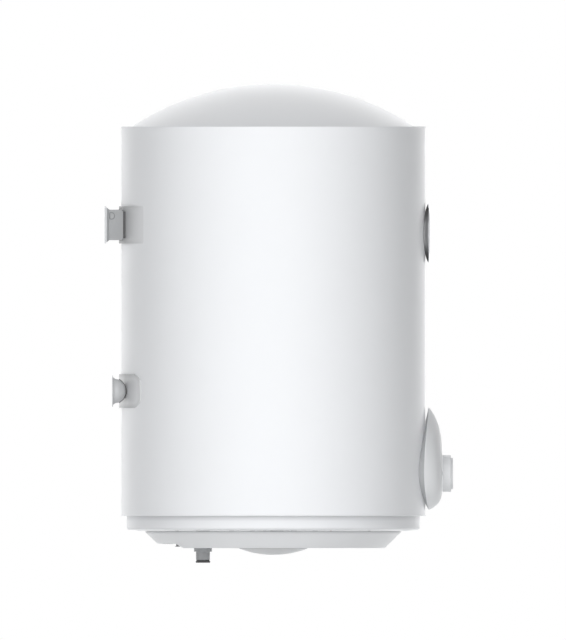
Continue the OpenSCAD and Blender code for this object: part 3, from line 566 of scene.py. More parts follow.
def painted(name, slot, colour, roughness=0.45):
    f = Finish(name, slot)
    grain = f.noise(700.0, 3.0, 0.6)
    worn = (f.noise(90.0, 6.0, 0.7) > 0.72) * 0.5
    base = f.mix(f.cloud(35.0), colour, shade(colour, 1.12))
    f.set(Base_Color=f.mix(worn, base, shade(colour, 0.9)),
          Roughness=roughness + 0.12 * grain, IOR=1.5)
    return f.relief(grain, 0.015 * MM)


def cast(name, slot, colour):
    f = Finish(name, slot)
    pits = f.noise(260.0, 6.0, 0.7)
    f.set(Base_Color=f.mix(pits, shade(colour, 0.6), colour),
          Metallic=1.0, Roughness=0.55 + 0.25 * pits)
    return f.relief(pits, 0.12 * MM)


STRAP = (0.74, 0.75, 0.765)
zinc = plated("zinc_plate", "zinc_steel", (0.60, 0.61, 0.63))
nipple_zinc = plated("nipple_plate", "zinc_steel", (0.46, 0.467, 0.478), 0.45)
nipple_zinc.set(Metallic=0.0, IOR=1.05)
dark_screw = painted("screw_black", "zinc_steel", (0.19, 0.193, 0.2), 0.4)
case_grey = painted("case_paint", "chrome", (0.26, 0.265, 0.272), 0.42)
bright_steel = drawn("bright_steel", "bright_steel", (0.66, 0.66, 0.67))
copper = drawn("bare_copper", "copper", (0.80, 0.42, 0.28), 0.26)
chrome = drawn("chrome_plate", "chrome", (0.50, 0.51, 0.53), 0.16,
               (60.0, 60.0, 60.0))
bracket_grey = painted("bracket_paint", "grey_paint", (0.36, 0.368, 0.376))
upper_white = painted("upper_strap_paint", "white_enamel", STRAP, 0.4)
lower_white = painted("lower_strap_paint", "white_enamel", STRAP, 0.4)
tank_steel = painted("tank_primer", "tank_steel", (0.16, 0.20, 0.25), 0.5)
magnesium = cast("cast_magnesium", "magnesium", (0.46, 0.47, 0.48))
needle_red = painted("needle_paint", "needle_black", (0.50, 0.03, 0.02), 0.4)
print("with the metals:", len(bpy.data.materials))

# %% [markdown]
# ## Finishes: rubber, foam, ceramic, glass and print
#
# Rubber is dark and never quite even. Rigid foam is full of cells, which a
# Voronoi texture gives. The thermometer's window is clear, so its
# transmission is a plain number on the shader, which survives an export.

# %% Other finishes
def rubbery(name, slot, colour, roughness=0.62):
    f = Finish(name, slot)
    bloom = f.cloud(80.0)
    f.set(Base_Color=f.mix(bloom, colour, shade(colour, 1.5)),
          Roughness=roughness + 0.15 * bloom, IOR=1.5)
    return f.relief(f.noise(800.0, 3.0), 0.02 * MM)


def foamed(name, slot, colour):
    f = Finish(name, slot)
    cells = f.cells(380.0)
    f.set(Base_Color=f.mix(f.noise(18.0, 4.0), colour, shade(colour, 0.82)),
          Roughness=0.8 + 0.15 * cells)
    return f.relief(cells, 0.3 * MM)


def fired(name, slot, colour):
    f = Finish(name, slot)
    speck = f.noise(500.0)
    f.set(Base_Color=f.mix((speck > 0.68) * 0.3, colour, shade(colour, 0.7)),
          Roughness=0.25 + 0.1 * speck, IOR=1.55)
    return f.relief(f.noise(60.0, 3.0), 0.03 * MM)


def translucent(name, slot, colour, roughness):
    f = Finish(name, slot)
    swirl = f.noise(120.0)
    f.set(Base_Color=f.mix(swirl, colour, shade(colour, 0.85)),
          Roughness=roughness + 0.04 * swirl, IOR=1.49, Coat_Weight=0.5,
          Coat_Roughness=0.05)
    return f.relief(swirl, 0.01 * MM)


# Painted shade: this black rubber stands in for deep shadows, by the bracket's
# end walls and under the spacers' noses.
painted_shade_rubber = rubbery("painted_shade_rubber", "black_rubber", (0.07, 0.07, 0.072))
grey_rubber = rubbery("grey_rubber", "grey_rubber", (0.30, 0.307, 0.315))
black_rubber = rubbery("black_rubber", "black_rubber", (0.045, 0.045, 0.047))
sheath = rubbery("cable_sheath", "cable_sheath", (0.12, 0.12, 0.125), 0.45)
foam = foamed("cream_foam", "foam", (0.86, 0.78, 0.52))
ceramic = fired("ivory_ceramic", "ivory_ceramic", (0.82, 0.79, 0.70))
phenolic = moulded("brown_phenolic", "brown_phenolic", (0.16, 0.085, 0.05),
                   0.42, 700.0, 0.02)
red_button = translucent("red_button", "red_plastic", (0.62, 0.03, 0.02),
                         0.25)
amber = translucent("amber_lens", "lamp_orange", (0.85, 0.26, 0.04), 0.12)
dial_print = moulded("dial_card", "dial_white", (0.86, 0.865, 0.86), 0.5,
                     1500.0, 0.004)
ink = moulded("printed_ink", "needle_black", (0.035, 0.035, 0.04), 0.45,
              1500.0, 0.003)
clear_window = Finish("clear_window", "lens")
clear_window.set(Base_Color=(0.97, 0.985, 0.99), Transmission_Weight=1.0,
                 Roughness=0.015 + 0.02 * clear_window.noise(140.0, 5.0, 0.7),
                 IOR=1.45)
clear_window.relief(clear_window.noise(20.0, 1.0), 0.01 * MM)
print("finishes in all:", len(bpy.data.materials))

# %% [markdown]
# ## Dressing
#
# A dressed piece gets its finish, rides on a body and takes the place of
# one or more solids. An inner solid keeps its mesh and only gets a finish.

# %% Dress a piece
def dress(piece, finish, *nodes, body="heater"):
    piece.data.materials.clear()
    piece.data.materials.append(finish.material)
    for face in piece.data.polygons:
        face.material_index = 0
    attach(piece, body)
    if nodes:
        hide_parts(*nodes)
    print("%-18s %6d faces" % (piece.name, len(piece.data.polygons)))
    return piece


def finish_node(node, finish):
    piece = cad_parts[node]
    if not piece.data.materials:
        piece.data.materials.append(finish.material)
    for i in range(len(piece.data.materials)):
        piece.data.materials[i] = finish.material
    return piece


print("ready to dress", len(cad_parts), "solids")

# %% [markdown]
# ## The drum's skin
#
# The jacket is one sheet rolled into a drum, with its lower edge rolled
# outwards into a small bead. The outline goes down the outer side, round
# the bead and up the inner side, so the wall has its real thickness. The
# thermometer and the thermostat stand in two openings in the front.

# %% Jacket
wall = [(jacket_r, foot_z + (rim_z - foot_z) * k / 6) for k in range(5, 0, -1)]
bead = [(jacket_r + lip_out * math.sin(math.radians(a)),
         foot_z + lip_h / 2 * (1 + math.cos(math.radians(a))))
        for a in range(0, 181, 20)]
outline = (mm(jacket_r, rim_z, (-0.15, 0), (0, -0.2)) + wall + bead
           + [(jacket_r - sheet_t, foot_z), (jacket_r - sheet_t, rim_z)])
jacket = turned("jacket_skin", outline, on_axis, "Z", DRUM_STEPS, True)
inward = front_y + 30 * MM
drilled(jacket, 30.5 * MM, (0, front_y - REACH, gauge_z),
        (0, inward, gauge_z))
cut(jacket, block("thermostat_way",
                  (-23 * MM, front_y - REACH, knob_z - 20 * MM),
                  (23 * MM, inward, knob_z + 20 * MM)))
dress(smooth(jacket, 25), white_enamel, "outer_jacket")

# %% [markdown]
# ## The domed top
#
# The cover is pressed from one sheet: a shallow dome, a narrow groove round
# it, and a hem folded over the drum's rim. The outline is drawn once along
# the outer face, and Solidify gives it the sheet's thickness.

# %% Top cover
apex_z = high("top_cover").z
dome = [(r, apex_z - drop) for r, drop in
        arc(ball_r(cover_r, apex_z - rim_z), cover_r, 40)]
groove_z, wall_r = rim_z - 4 * MM, jacket_r - sheet_t - 0.1 * MM
hem_r, hem_z = jacket_r + 0.7 * MM, rim_z + 0.9 * MM
tail = rounded([dome[-1], (cover_r, groove_z), (wall_r, groove_z),
                (wall_r, hem_z), (hem_r, hem_z), (hem_r, rim_z - 2 * MM)],
               {1: 0.9, 2: 0.9, 3: 0.5, 4: 0.8})
cover = turned("cover_skin", dome[:-1] + tail, on_axis, "Z", DRUM_STEPS)
thickened(cover, 0.55 * MM)
dress(smooth(cover, 30), white_enamel, "top_cover")

# %% [markdown]
# ## The pan below the drum
#
# A second pressing closes the drum from below. It is a little narrower than
# the drum, so a dark line of shadow runs under the drum's bead, and its
# lower corner is round. Its white is painted a little darker than the
# drum's, and darker still just under the bead: painted shade where the
# bead shades it.

# %% Lower ring
seam_z = foot_z + 0.15 * MM
outline = rounded([(jacket_r - 0.9 * MM, seam_z), (ring_r, seam_z)]
                  + mm(ring_r, ring_z, (0, 2), (-20, 0))
                  + mm(ring_mouth_r, ring_z, (0, 0), (0, 4)),
                  {1: 0.8, 2: 3.6, 3: 12, 4: 0.8}, 9)
# Painted shade: the colour darkens just under the bead, where it shades the
# pan.
depth = ring_white.along("Z") * -1
shade_under_bead = depth.ramp(0.5 * MM - foot_z, 7 * MM)
ring_white.set(Base_Color=ring_white.mix(shade_under_bead, (0.62, 0.63, 0.645), SHADED_RING_WHITE),
               Coat_Weight=0.3)
ring = turned("ring_pan", outline, on_axis, "Z", DRUM_STEPS)
thickened(ring, 0.9 * MM)
dress(smooth(ring, 30), ring_white, "lower_ring")

# %% [markdown]
# ## The service cover
#
# The plastic cover under the pan is a shallow cone with a flat face. Its
# brim stops a little below the pan, which leaves a dark gap. Along its
# back the face steps up and gives room to the cord and to two screws. It
# is turned as a filled body, the step is cut with a wedge, the step's
# corner is rounded off, and then the body is hollowed from above.

# %% Service cover
brim_r, brim_z = service_r + 1.2 * MM, service_z - 0.8 * MM
service_t = 2.2 * MM
outline = rounded([(0, service_z), (service_r - 7 * MM, service_z),
                   (brim_r, brim_z), (service_face_r, face_z), (0, face_z)],
                  {2: 0.5, 3: 2.2})
service = turned("service_pan", outline, on_axis, "Z", DRUM_STEPS)
front_top, back_y = axis_y + step_back, axis_y + service_r + REACH
front_foot = front_top - step_slope * (1 + REACH / step_h)


def to_wedge(co):
    """Gives a cube as wide as the cover the slope of the step."""
    y = back_y if co.y > 0 else front_top if co.z > 0 else front_foot
    return Vector((co.x, y, step_z if co.z > 0 else face_z - REACH))


cut(service, move_points(block("wedge", (-0.3, -0.5, -0.5), (0.3, 0.5, 0.5)),
                         to_wedge))
bend_l = 3 * MM
cone = Vector((brim_r - service_face_r, brim_z - face_z)).normalized()
corner = Vector((service_face_r + step_h * cone.x / cone.y, step_z))
upper, lower = corner + cone * bend_l, corner - Vector((bend_l, 0))
bend = [tuple(upper.lerp(corner, k / 8).lerp(corner.lerp(lower, k / 8), k / 8))
        for k in range(9)]
round_off = turned("round_off", bend + mm(*lower, (0, -2))
                   + mm(*corner, (2, -2)) + mm(*upper, (2, -1)),
                   on_axis, "Z", DRUM_STEPS, True)
cut(round_off, block("back_part",
                     (-service_r, axis_y + step_back + 1 * MM, face_z),
                     (service_r, axis_y + service_r, service_z)),
    "INTERSECT")
cut(service, round_off)
take(service)
bpy.ops.object.mode_set(mode="EDIT")
mesh = bmesh.from_edit_mesh(service.data)
for face in mesh.faces:
    face.select = (face.normal.z > 0.99
                   and face.calc_center_median().z > service_z - 0.2 * MM)
bmesh.update_edit_mesh(service.data)
bpy.ops.mesh.delete(type="FACE")
bpy.ops.object.mode_set(mode="OBJECT")
thickened(service, service_t)
print("the cover is hollow, with a wall of", service_t)

# %% [markdown]
# The nipples, four screws and the cord go through the cover. Near its brim
# the colour is darkened, a painted shade where the pan shades it.

# %% Holes in the service cover
def bored(piece, r, x, y, bottom, top):
    """Cuts an upright round hole."""
    return drilled(piece, r, (x, y, bottom), (x, y, top))


for side in (-1, 1):
    bored(service, 12.2 * MM, side * nipple_x, nipple_y, face_z - REACH,
          service_z)
    for y in (axis_y + cover_screw_y, axis_y - cover_screw_y):
        x = side * cover_screw_x
        bored(service, 4.5 * MM, x, y, face_z - 10 * MM, face_z + 3.9 * MM)
        bored(service, 2.3 * MM, x, y, face_z, service_z)
bored(service, 6.2 * MM, 0, axis_y + step_back + step_slope, face_z,
      service_z)
# Painted shade: the cover is darker just below its brim, where the pan shades
# it.
brim_shade = white_shell.along("Z").ramp(brim_z - 3.6 * MM, 2.4 * MM)
white_shell.set(Base_Color=white_shell.mix(brim_shade, SHELL, (0.66, 0.67, 0.682)))
dress(smooth(service, 24), white_shell, "service_cover")

# %% [markdown]
# ## The access cap
#
# A round cap closes the hole under the thermostat's flange. It is a shallow
# bulge with a thin round edge, and it snaps into the cover, so a narrow
# line shows all round it.

# %% Access cap
cap_r, cap_z = half_width("access_cap"), low("access_cap").z
bulge = [(r, cap_z + drop) for r, drop in
         arc(ball_r(cap_r, face_z - cap_z), cap_r, 24)[:-2]]
snap = rounded([bulge[-1]] + mm(cap_r, face_z, (-0.1, -0.1), (-2.5, -0.05),
                                (-2.5, 5), (-4.3, 5), (-4.3, -1.2)),
               {1: 0.35, 2: 0.2, 3: 0.4, 4: 0.4})
inner = [(r * 0.93, z + 1.8 * MM) for r, z in reversed(bulge[:-2])]
cap = turned("access_dome", bulge[:-1] + snap + inner, on_axis, steps=160)
dress(cap, cap_shaded_white, "access_cap")

# %% [markdown]
# ## The water nipples
#
# Cold water goes in at one nipple and hot water comes out of the other.
# Both end in a half-inch pipe thread. The nipple is turned plain, with many
# rings along the threaded part, and then each vertex moves in or out by the
# height of a V thread at its angle, which makes a true helix.

# %% Nipples
thread_r = half_width("cold_inlet_nipple")
thread_z = low("cold_inlet_nipple").z
nipple_top = high("cold_inlet_nipple").z
nipple_bore = 8 * MM
thread_l, half_inch_pitch = 11.8 * MM, 1.814 * MM
run_out = 0.8 * MM


def threaded(piece, centre, r, start, length, pitch, depth):
    """Cuts a helix into a turned piece, running out at both ends."""
    def rule(co):
        off = co - centre
        reach, z = math.hypot(off.x, off.y), co.z - start
        if reach < r - 0.3 * MM or z < 0 or z > length:
            return co
        fade = min(1, z / run_out, (length - z) / run_out)
        turn = z / pitch - math.atan2(off.y, off.x) / (2 * math.pi)
        share = 1 - depth * abs(2 * (turn % 1.0) - 1) * fade / reach
        return Vector((centre.x + off.x * share, centre.y + off.y * share,
                       co.z))

    return move_points(piece, rule)


def nipple(name, x):
    centre = Vector((x, nipple_y, 0))
    rings, end_z = 60, thread_z + thread_l
    outline = [(nipple_bore, nipple_top)]
    outline += [(thread_r - 0.2 * MM, z) for z in (nipple_top,
                                                   end_z + 0.6 * MM)]
    outline += [(thread_r, end_z - (thread_l - 0.6 * MM) * k / rings)
                for k in range(rings + 1)]
    outline += [(thread_r - 0.6 * MM, thread_z), (nipple_bore, thread_z)]
    piece = turned(name, outline, centre, steps=72, closed=True)
    threaded(piece, centre, thread_r, thread_z, thread_l, half_inch_pitch,
             0.45 * MM)
    return smooth(piece, 60)


dress(nipple("inlet_nipple", nipple_x), nipple_zinc, "cold_inlet_nipple")
dress(nipple("outlet_nipple", -nipple_x), nipple_zinc, "hot_outlet_nipple")

# %% [markdown]
# ## Collars and liners
#
# A grey rubber collar seals each nipple against the cover, and a dark
# plastic liner keeps steel from the pipe's brass. The liner ends in a
# groove and a ring just below the thread.

# %% Collars and liners
collar_z = low("nipple_collars").z
collar_r = high("nipple_collars").x - nipple_x
neck_r = thread_r + 1.4 * MM
collar_line = rounded([(neck_r - 1.3 * MM, collar_z)]
                      + mm(collar_r, collar_z, (0, 0), (0, 1.8), (-0.5, 2.2),
                           (-0.5, 2.8), (0, 3.2))
                      + [(collar_r, face_z)]
                      + mm(neck_r, face_z, (0, 0), (0, 4), (-1.3, 4)),
                      {1: 0.6, 2: 0.2, 3: 0.15, 4: 0.15, 5: 0.2, 6: 0.3,
                       8: 0.4})
liner_z, end_z = low("nipple_liners").z, thread_z - 1.4 * MM
seat_z, liner_top = thread_z - 0.05 * MM, thread_z + 25 * MM
liner_bore, liner_r, flange_r = 6.4 * MM, 7.85 * MM, 10.68 * MM
groove_r = thread_r - 0.75 * MM
liner_line = rounded([(liner_bore, liner_z), (flange_r, liner_z),
                      (flange_r, end_z), (groove_r, end_z),
                      (groove_r, seat_z), (liner_r, seat_z),
                      (liner_r, liner_top), (liner_bore, liner_top)],
                     {1: 0.5, 2: 0.4, 3: 0.2, 6: 0.4})
for side, word in ((-1, "hot"), (1, "cold")):
    for line, name, finish, node in (
            (collar_line, "_collar", grey_rubber, "nipple_collars"),
            (liner_line, "_liner", black_rubber, "nipple_liners")):
        dress(turned(word + name, line, (side * nipple_x, nipple_y, 0),
                     steps=72, closed=True), finish, node)

# %% [markdown]
# ## The wall bracket
#
# The bracket is a pan pressed from thick sheet: its edge flares outwards
# against the wall, its end walls carry a pressed ring with one flat side,
# and its top wall has two slots for hooks. A press leaves every edge a
# little round, so a merged copy of the solid gets a bevel on its sharp
# edges. The pressed ring is drawn as a dark line in the colour, a painted
# shade in its groove, and the flare is paler, a painted highlight.

# %% Bracket
bracket = eased_copy("upper_bracket", "bracket_pan", 0.3 * MM)
y, z = bracket_grey.along("Y"), bracket_grey.along("Z")
aside, above = y + 10.2 * MM, z - 13.4 * MM
far = (aside * aside + above * above).root()
# Painted shade: the pressed ring's groove gets a dark line of colour.
round_groove_shade = (far > 4.3 * MM) * (far < 5.4 * MM) * (y < -7.2 * MM)
flat_groove_shade = (y > -8.3 * MM) * (y < -7.2 * MM) * (far < 4.4 * MM)
sheet = bracket_grey.mix(bracket_grey.cloud(35.0), (0.29, 0.297, 0.304),
                         (0.327, 0.334, 0.342))
sheet = bracket_grey.mix((round_groove_shade + flat_groove_shade).clipped(), sheet,
                         (0.20, 0.205, 0.21))
# Painted highlight: the flare by the wall is paler.
bracket_grey.set(Base_Color=bracket_grey.mix(y > -3.6 * MM, sheet,
                                             (0.66, 0.67, 0.68)))
dress(bracket, bracket_grey, "upper_bracket")

# %% [markdown]
# ## The straps and the dark strips at the bracket
#
# Two straps lie round the drum's back, under the bracket and under the
# spacers. The ends of the upper one come down to the drum, and those of
# the lower one are drawn out into long curves. Their colour is darkened
# towards the fitting that they carry, and most on the cut edge: painted
# shade where the bracket and the spacers shade them. A strip of black
# rubber fills the gap between each end wall of the bracket and the upper
# strap, a painted shadow for the deep shade in that gap.

# %% Straps and dark shadow strips
def strap_painted_shade(f, node, corner, end):
    """Painted shade: greyer near the wall fitting, greyest on the cut edge."""
    across = f.along("X").absolute()
    up = (f.along("Z") - middle(node).z).absolute()
    # Painted shade: darker towards the middle, under the fitting.
    share = across.ramp(62 * MM, 55.56 * MM)
    far = [(v - (reach - corner)).through("MAXIMUM") for v, reach in
           ((across, high(node).x), (up, high(node).z - middle(node).z))]
    near = (far[0] * far[0] + far[1] * far[1]).root()
    # Painted shade: darker still within 7 mm of the cut edge.
    edge_shade = near.ramp(corner - 7 * MM, 7 * MM)
    face = f.mix(share, (0.40, 0.408, 0.417), STRAP)
    edge = f.mix(share, (0.17, 0.175, 0.18), end)
    return f.set(Base_Color=f.mix(edge_shade, face, edge))


strap_w, strap_z = high("lower_pad").x, middle("lower_pad").z
strap_h = high("lower_pad").z - strap_z


def flattened(co):
    """Brings the ends of the upper strap's outer face down to the drum."""
    off = co - on_axis
    r = math.hypot(off.x, off.y)
    share = min(1.0, 0.1 + (strap_w - abs(co.x)) / (16 * MM))
    stay = r + (share - 1) * max(0.0, r - jacket_r - 0.1 * MM)
    return Vector((off.x * stay / r, axis_y + off.y * stay / r, co.z))


def rounder(co):
    """Draws the corners of the lower strap out into long curves."""
    off = co - on_axis
    r, angle = math.hypot(off.x, off.y), math.atan2(off.x, off.y)
    up = max(0.0, 1 - (strap_h - abs(co.z - strap_z)) / (12 * MM))
    near = max(0.0, 1 - (strap_w - abs(co.x)) / (40 * MM))
    angle *= 1 - 0.11 * up * up * near
    return Vector((r * math.sin(angle), axis_y + r * math.cos(angle), co.z))


def strap_way(extra):
    """A rod whose side is the outer face of both straps, and a bit more."""
    y, over = axis_y + 16.75 * MM, 10 * MM
    return rod(211.75 * MM + extra, (0, y, low("lower_pad").z - over),
               (0, y, high("upper_pad").z + over), 360)


for name, node, finish, rule, corner, end in (
        ("upper_strap", "upper_pad", upper_white, flattened, 8, STRAP),
        ("lower_strap", "lower_pad", lower_white, rounder, 17,
         (0.64, 0.65, 0.66))):
    strap = move_points(eased_copy(node, name, 0.5 * MM, 50), rule)
    dress(smooth(strap, 50 if rule is flattened else 32),
          strap_painted_shade(finish, node, corner * MM, end), node)
# Painted shadow: a black rubber strip fills the gap between each end wall of
# the bracket and the upper strap.
shadow_strip_in, shadow_strip_out, shadow_strip_h = 58 * MM, 63.3 * MM, 19.5 * MM
for side, word in ((-1, "left"), (1, "right")):
    shadow_strip = block(word + "_bracket_seal", (side * shadow_strip_out, -36 * MM, -shadow_strip_h),
                 (side * shadow_strip_in, -27.6 * MM, shadow_strip_h))
    cut(shadow_strip, strap_way(0.05 * MM))
    bevelled(shadow_strip, 0.3 * MM, 2, 50)
    dress(smooth(shadow_strip, 30), painted_shade_rubber)

# %% [markdown]
# ## Studs and nuts of the bracket
#
# Four studs on the tank carry the bracket. Each is turned with a helical
# thread where it stands out, and each nut is a hexagon whose corners are
# turned off, which leaves the curved chamfers of a real nut. One of each is
# made upright, and the copies are laid out round the drum.

# %% Studs and nuts
def stud(r, length, threads_from):
    """An upright stud with a helical thread along its upper part."""
    run = length - threads_from
    rings = int(run / (0.25 * MM))
    outline = [(0, 0), (r, 0)]
    outline += [(r, threads_from + (run - 0.8 * MM) * k / rings)
                for k in range(rings + 1)]
    outline += [(r - 0.8 * MM, length), (0, length)]
    piece = turned("stud_master", outline, (0, 0, 0), steps=48)
    threaded(piece, Vector(), r, threads_from, run, 1.25 * MM, 0.65 * MM)
    return smooth(piece, 60)


def nut(across, h, bore):
    """An upright hexagon nut, its corners turned off at both ends."""
    put_down()
    bpy.ops.mesh.primitive_cylinder_add(vertices=6, radius=across, depth=h,
                                        location=(0, 0, h / 2))
    piece = settle(named("nut_master"))
    crown, wide = across * math.cos(math.pi / 6) * 0.96, across + 0.5 * MM
    lean, out = (wide - crown) * 0.58, 0.01 * MM
    cut(piece, turned("turning", [(0, -out), (crown, -out), (wide, lean),
                                  (wide, h - lean), (crown, h + out),
                                  (0, h + out)], (0, 0, 0), steps=72),
        "INTERSECT")
    drilled(piece, bore, (0, 0, -10 * MM), (0, 0, h + 10 * MM))
    return smooth(piece, 25)


def stood_out(piece, from_r, angle, z):
    """Lays an upright piece on its side, pointing out of the drum's back."""
    move_points(piece, lambda co: Vector((co.x, from_r + co.z, z - co.y)))
    return swing(shift(piece, (0, axis_y, 0)), angle, on_axis)


tank_r, tail_l = 205 * MM, 12 * MM
stud_l = web_r + tail_l - tank_r
masters = (
    (stud(4 * MM, stud_l, stud_l - 13 * MM), tank_r + 0.05 * MM, "stud"),
    (nut(7.2 * MM, 6.5 * MM, 4.1 * MM), web_r + 2.65 * MM, "nut"))
places = [(side * 4.5, level * MM) for side in (-1, 1) for level in (-10, 10)]
for count, (angle, z) in enumerate(places, 1):
    for master, from_r, word in masters:
        piece = copied(master, "bracket_%s_%d" % (word, count))
        stood_out(piece, from_r, angle, z)
        dress(piece, zinc, "bracket_%ss" % word)
for master, _, _ in masters:
    bpy.data.objects.remove(master)

# %% [markdown]
# ## The wall spacers
#
# Two plastic bells keep the lower end off the wall. Each has a thin flange
# towards the wall, a hollow for its screw, and a round nose. Between nose
# and strap lies a thin layer of black rubber, on the inner half only, a
# painted shadow for the shade under the nose, and a rubber sleeve goes
# round the screw.

# %% Spacers
spacer_flange = 23.4 * MM
spacer_y, drop_z = high("wall_spacers").y, middle("wall_spacers").z
spacer_x = high("wall_spacers").x - spacer_flange
nose_ball, nose_tip = ball_r(17.2 * MM, 10.5 * MM), 20.1 * MM


def nose_skin(grow):
    """The nose's outline from its middle out, or a layer on top of it."""
    share = 1 + grow / nose_ball
    return [(r * share, nose_tip - nose_ball + (nose_ball - drop) * share)
            for r, drop in arc(nose_ball, 17 * MM, 12)]


def crossed(piece, centre, size, depth, axis):
    """Cuts a cross recess into a screw head."""
    centre = Vector(centre)
    for a, b in ((size * 0.17, size), (size, size * 0.17)):
        reach = Vector((a, b, depth) if axis == "Z" else (a, depth, b))
        cut(piece, block("driver", centre - reach, centre + reach))
    return smooth(piece, 30)


nose = [point for point in reversed(nose_skin(0)) if point[0] > 3.4 * MM]
body = rounded(mm(0, 0, (6.2, 0), (23.4, 0), (23.4, 1.2), (20.6, 1.3),
                  (18.4, 4.4), (17.3, 9.5)), {1: 0.4, 2: 0.4, 3: 1.0, 4: 3.0})
inside = [(2.9 * MM, nose[-1][1])] + mm(0, 0, (2.9, 6), (6.2, 6))
bell = turned("spacer_master", body + nose + inside, (0, spacer_y, drop_z),
              "Y", 96, True)
shade_foot_line = nose_skin(0.9 * MM) + nose_skin(0.05 * MM)[::-1]
sleeve_line = mm(0, 0, (2.75, 18.6), (4.4, 18.6), (4.4, 24), (2.75, 24))
screw_line = rounded(mm(0, 0, (0, -3.0), (3.0, -2.9), (5.4, -1.2), (5.4, 0),
                        (2.6, 0), (2.6, 25), (0, 28)),
                     {1: 2.0, 2: 0.5, 3: 0.2}, 4)
for side, word in ((-1, "left"), (1, "right")):
    x = side * spacer_x
    spacer = shift(copied(bell, word + "_spacer"), (x, 0, 0))
    cut(spacer, rod(web_r, (0, axis_y, drop_z - 60 * MM),
                    (0, axis_y, drop_z + 60 * MM), 360))
    dress(smooth(spacer, 30), spacer_grey, "wall_spacers")
    # Painted shadow: a black rubber layer on the nose's inner half stands for
    # the shade between nose and strap.
    foot = turned("foot", shade_foot_line, (x, spacer_y, drop_z), "Y", 96, True)
    cut(foot, strap_way(0.1 * MM))
    cut(foot, block("inner_half", (x - side * 30 * MM, spacer_y - 50 * MM,
                                   drop_z - 30 * MM),
                    (x - side * 0.2 * MM, spacer_y, drop_z + 30 * MM)),
        "INTERSECT")
    sleeve = turned("sleeve", sleeve_line, (x, spacer_y, drop_z), "Y", 48,
                    True)
    cut(sleeve, strap_way(0.1 * MM))
    foot = joined([foot, sleeve], word + "_spacer_foot")
    dress(smooth(foot, 30), painted_shade_rubber)
    seat_y = spacer_y - 6 * MM
    screw = turned(word + "_spacer_screw", screw_line, (x, seat_y, drop_z),
                   "Y", 48)
    crossed(screw, (x, seat_y + 3.0 * MM, drop_z), 3.0 * MM, 1.1 * MM, "Y")
    dress(screw, zinc, "spacer_screws")
bpy.data.objects.remove(bell)

# %% [markdown]
# ## Screws of the service cover and the cord gland
#
# The four screws have low flanged heads with a cross recess. The cord goes
# through a rubber gland that lies almost flush in the step.

# %% Cover screws and gland
places = [(side, end) for side in (-1, 1) for end in (-1, 1)]
for count, (side, end) in enumerate(places, 1):
    x, y = side * cover_screw_x, axis_y + end * cover_screw_y
    seat_z = face_z + (3.9 if end > 0 else 4.0) * MM
    line = rounded(mm(0, seat_z, (0, -1.9), (3.0, -1.85), (4.0, -1.6),
                      (4.0, -1.2), (2, -0.9))
                   + mm(0, ring_z, (2, 4.5), (0, 6)),
                   {1: 0.8, 2: 0.15, 3: 0.15}, 4)
    screw = turned("cover_screw_%d" % count, line, (x, y, 0), "Z", 48)
    crossed(screw, (x, y, seat_z - 1.9 * MM), 2.4 * MM, 0.8 * MM, "Z")
    dress(screw, dark_screw, "cover_screws")
line = rounded(mm(0, step_z - 0.2 * MM, (4.2, 0), (8, 0), (8, 0.55),
                  (6.1, 0.6))
               + mm(0, high("cord_gland").z, (6.1, -1.6), (8, -1.6), (8, 0),
                    (4.2, 0)), {1: 0.25, 3: 0.1, 4: 0.1, 5: 0.3, 6: 0.5})
gland = turned("rubber_gland", line, (0, middle("cord_gland").y, 0), "Z", 64,
               True)
dress(gland, black_rubber, "cord_gland")

# %% [markdown]
# ## The control panel
#
# The panel is a pebble with a point: its outline is a half circle below and
# two curves above that meet in a tip, its face swells forward, and its side
# wall tapers back to the drum. It starts as a circle of vertices round the
# knob, which is extruded ring by ring, and each ring is then moved to where
# the panel's own formulas put it.

# %% Panel outline
AROUND = 192
panel_y = knob_front_y + 15.9 * MM
edge_y = front_y - 5 * MM
edge_curve = 806 * MM
panel_w = half_width("control_panel")
panel_up = high("control_panel").z - knob_z
panel_down = knob_z - low("control_panel").z
opening_r = 9 * MM


def drop_point(a, w, up, down):
    """A point of the drop outline at angle a, across and up."""
    c, s = math.cos(a), math.sin(a)
    if s >= 0:
        return math.copysign(abs(c) ** 1.6, c) * w, up * s
    return w * c, down * s


def face_point(a, f):
    """A point of the panel's face, f of the way from its middle."""
    x, z = drop_point(a, panel_w, panel_up, panel_down)
    edge = edge_y + x * x / edge_curve
    power = 5.2 - 1.1 * math.sin(a)
    return Vector((x * f, panel_y + (edge - panel_y) * f ** power,
                   knob_z + z * f))


def foot_point(a):
    """A point of the side wall's foot, on the drum."""
    x, z = drop_point(a, panel_w - 5 * MM, panel_up - 21 * MM,
                      panel_down - 8.7 * MM)
    r = jacket_r + 0.3 * MM
    return Vector((x, axis_y - math.sqrt(r * r - x * x), knob_z + z))


angles = [2 * math.pi * i / AROUND for i in range(AROUND)]
rings = [[foot_point(a).lerp(face_point(a, 1.0), k / 4) for a in angles]
         for k in range(5)]
rings += [[face_point(a, f) for a in angles] for f in
          (0.992, 0.98, 0.96, 0.935, 0.9, 0.86, 0.81, 0.75, 0.68, 0.6, 0.52,
           0.44, 0.36, 0.28)]
rings.append([Vector((opening_r * math.cos(a), panel_y,
                      knob_z + opening_r * math.sin(a))) for a in angles])
print("rings on the panel:", len(rings))

# %% [markdown]
# The circle's vertices come in Blender's own order, so the angle of each
# one says which point of a ring it takes.

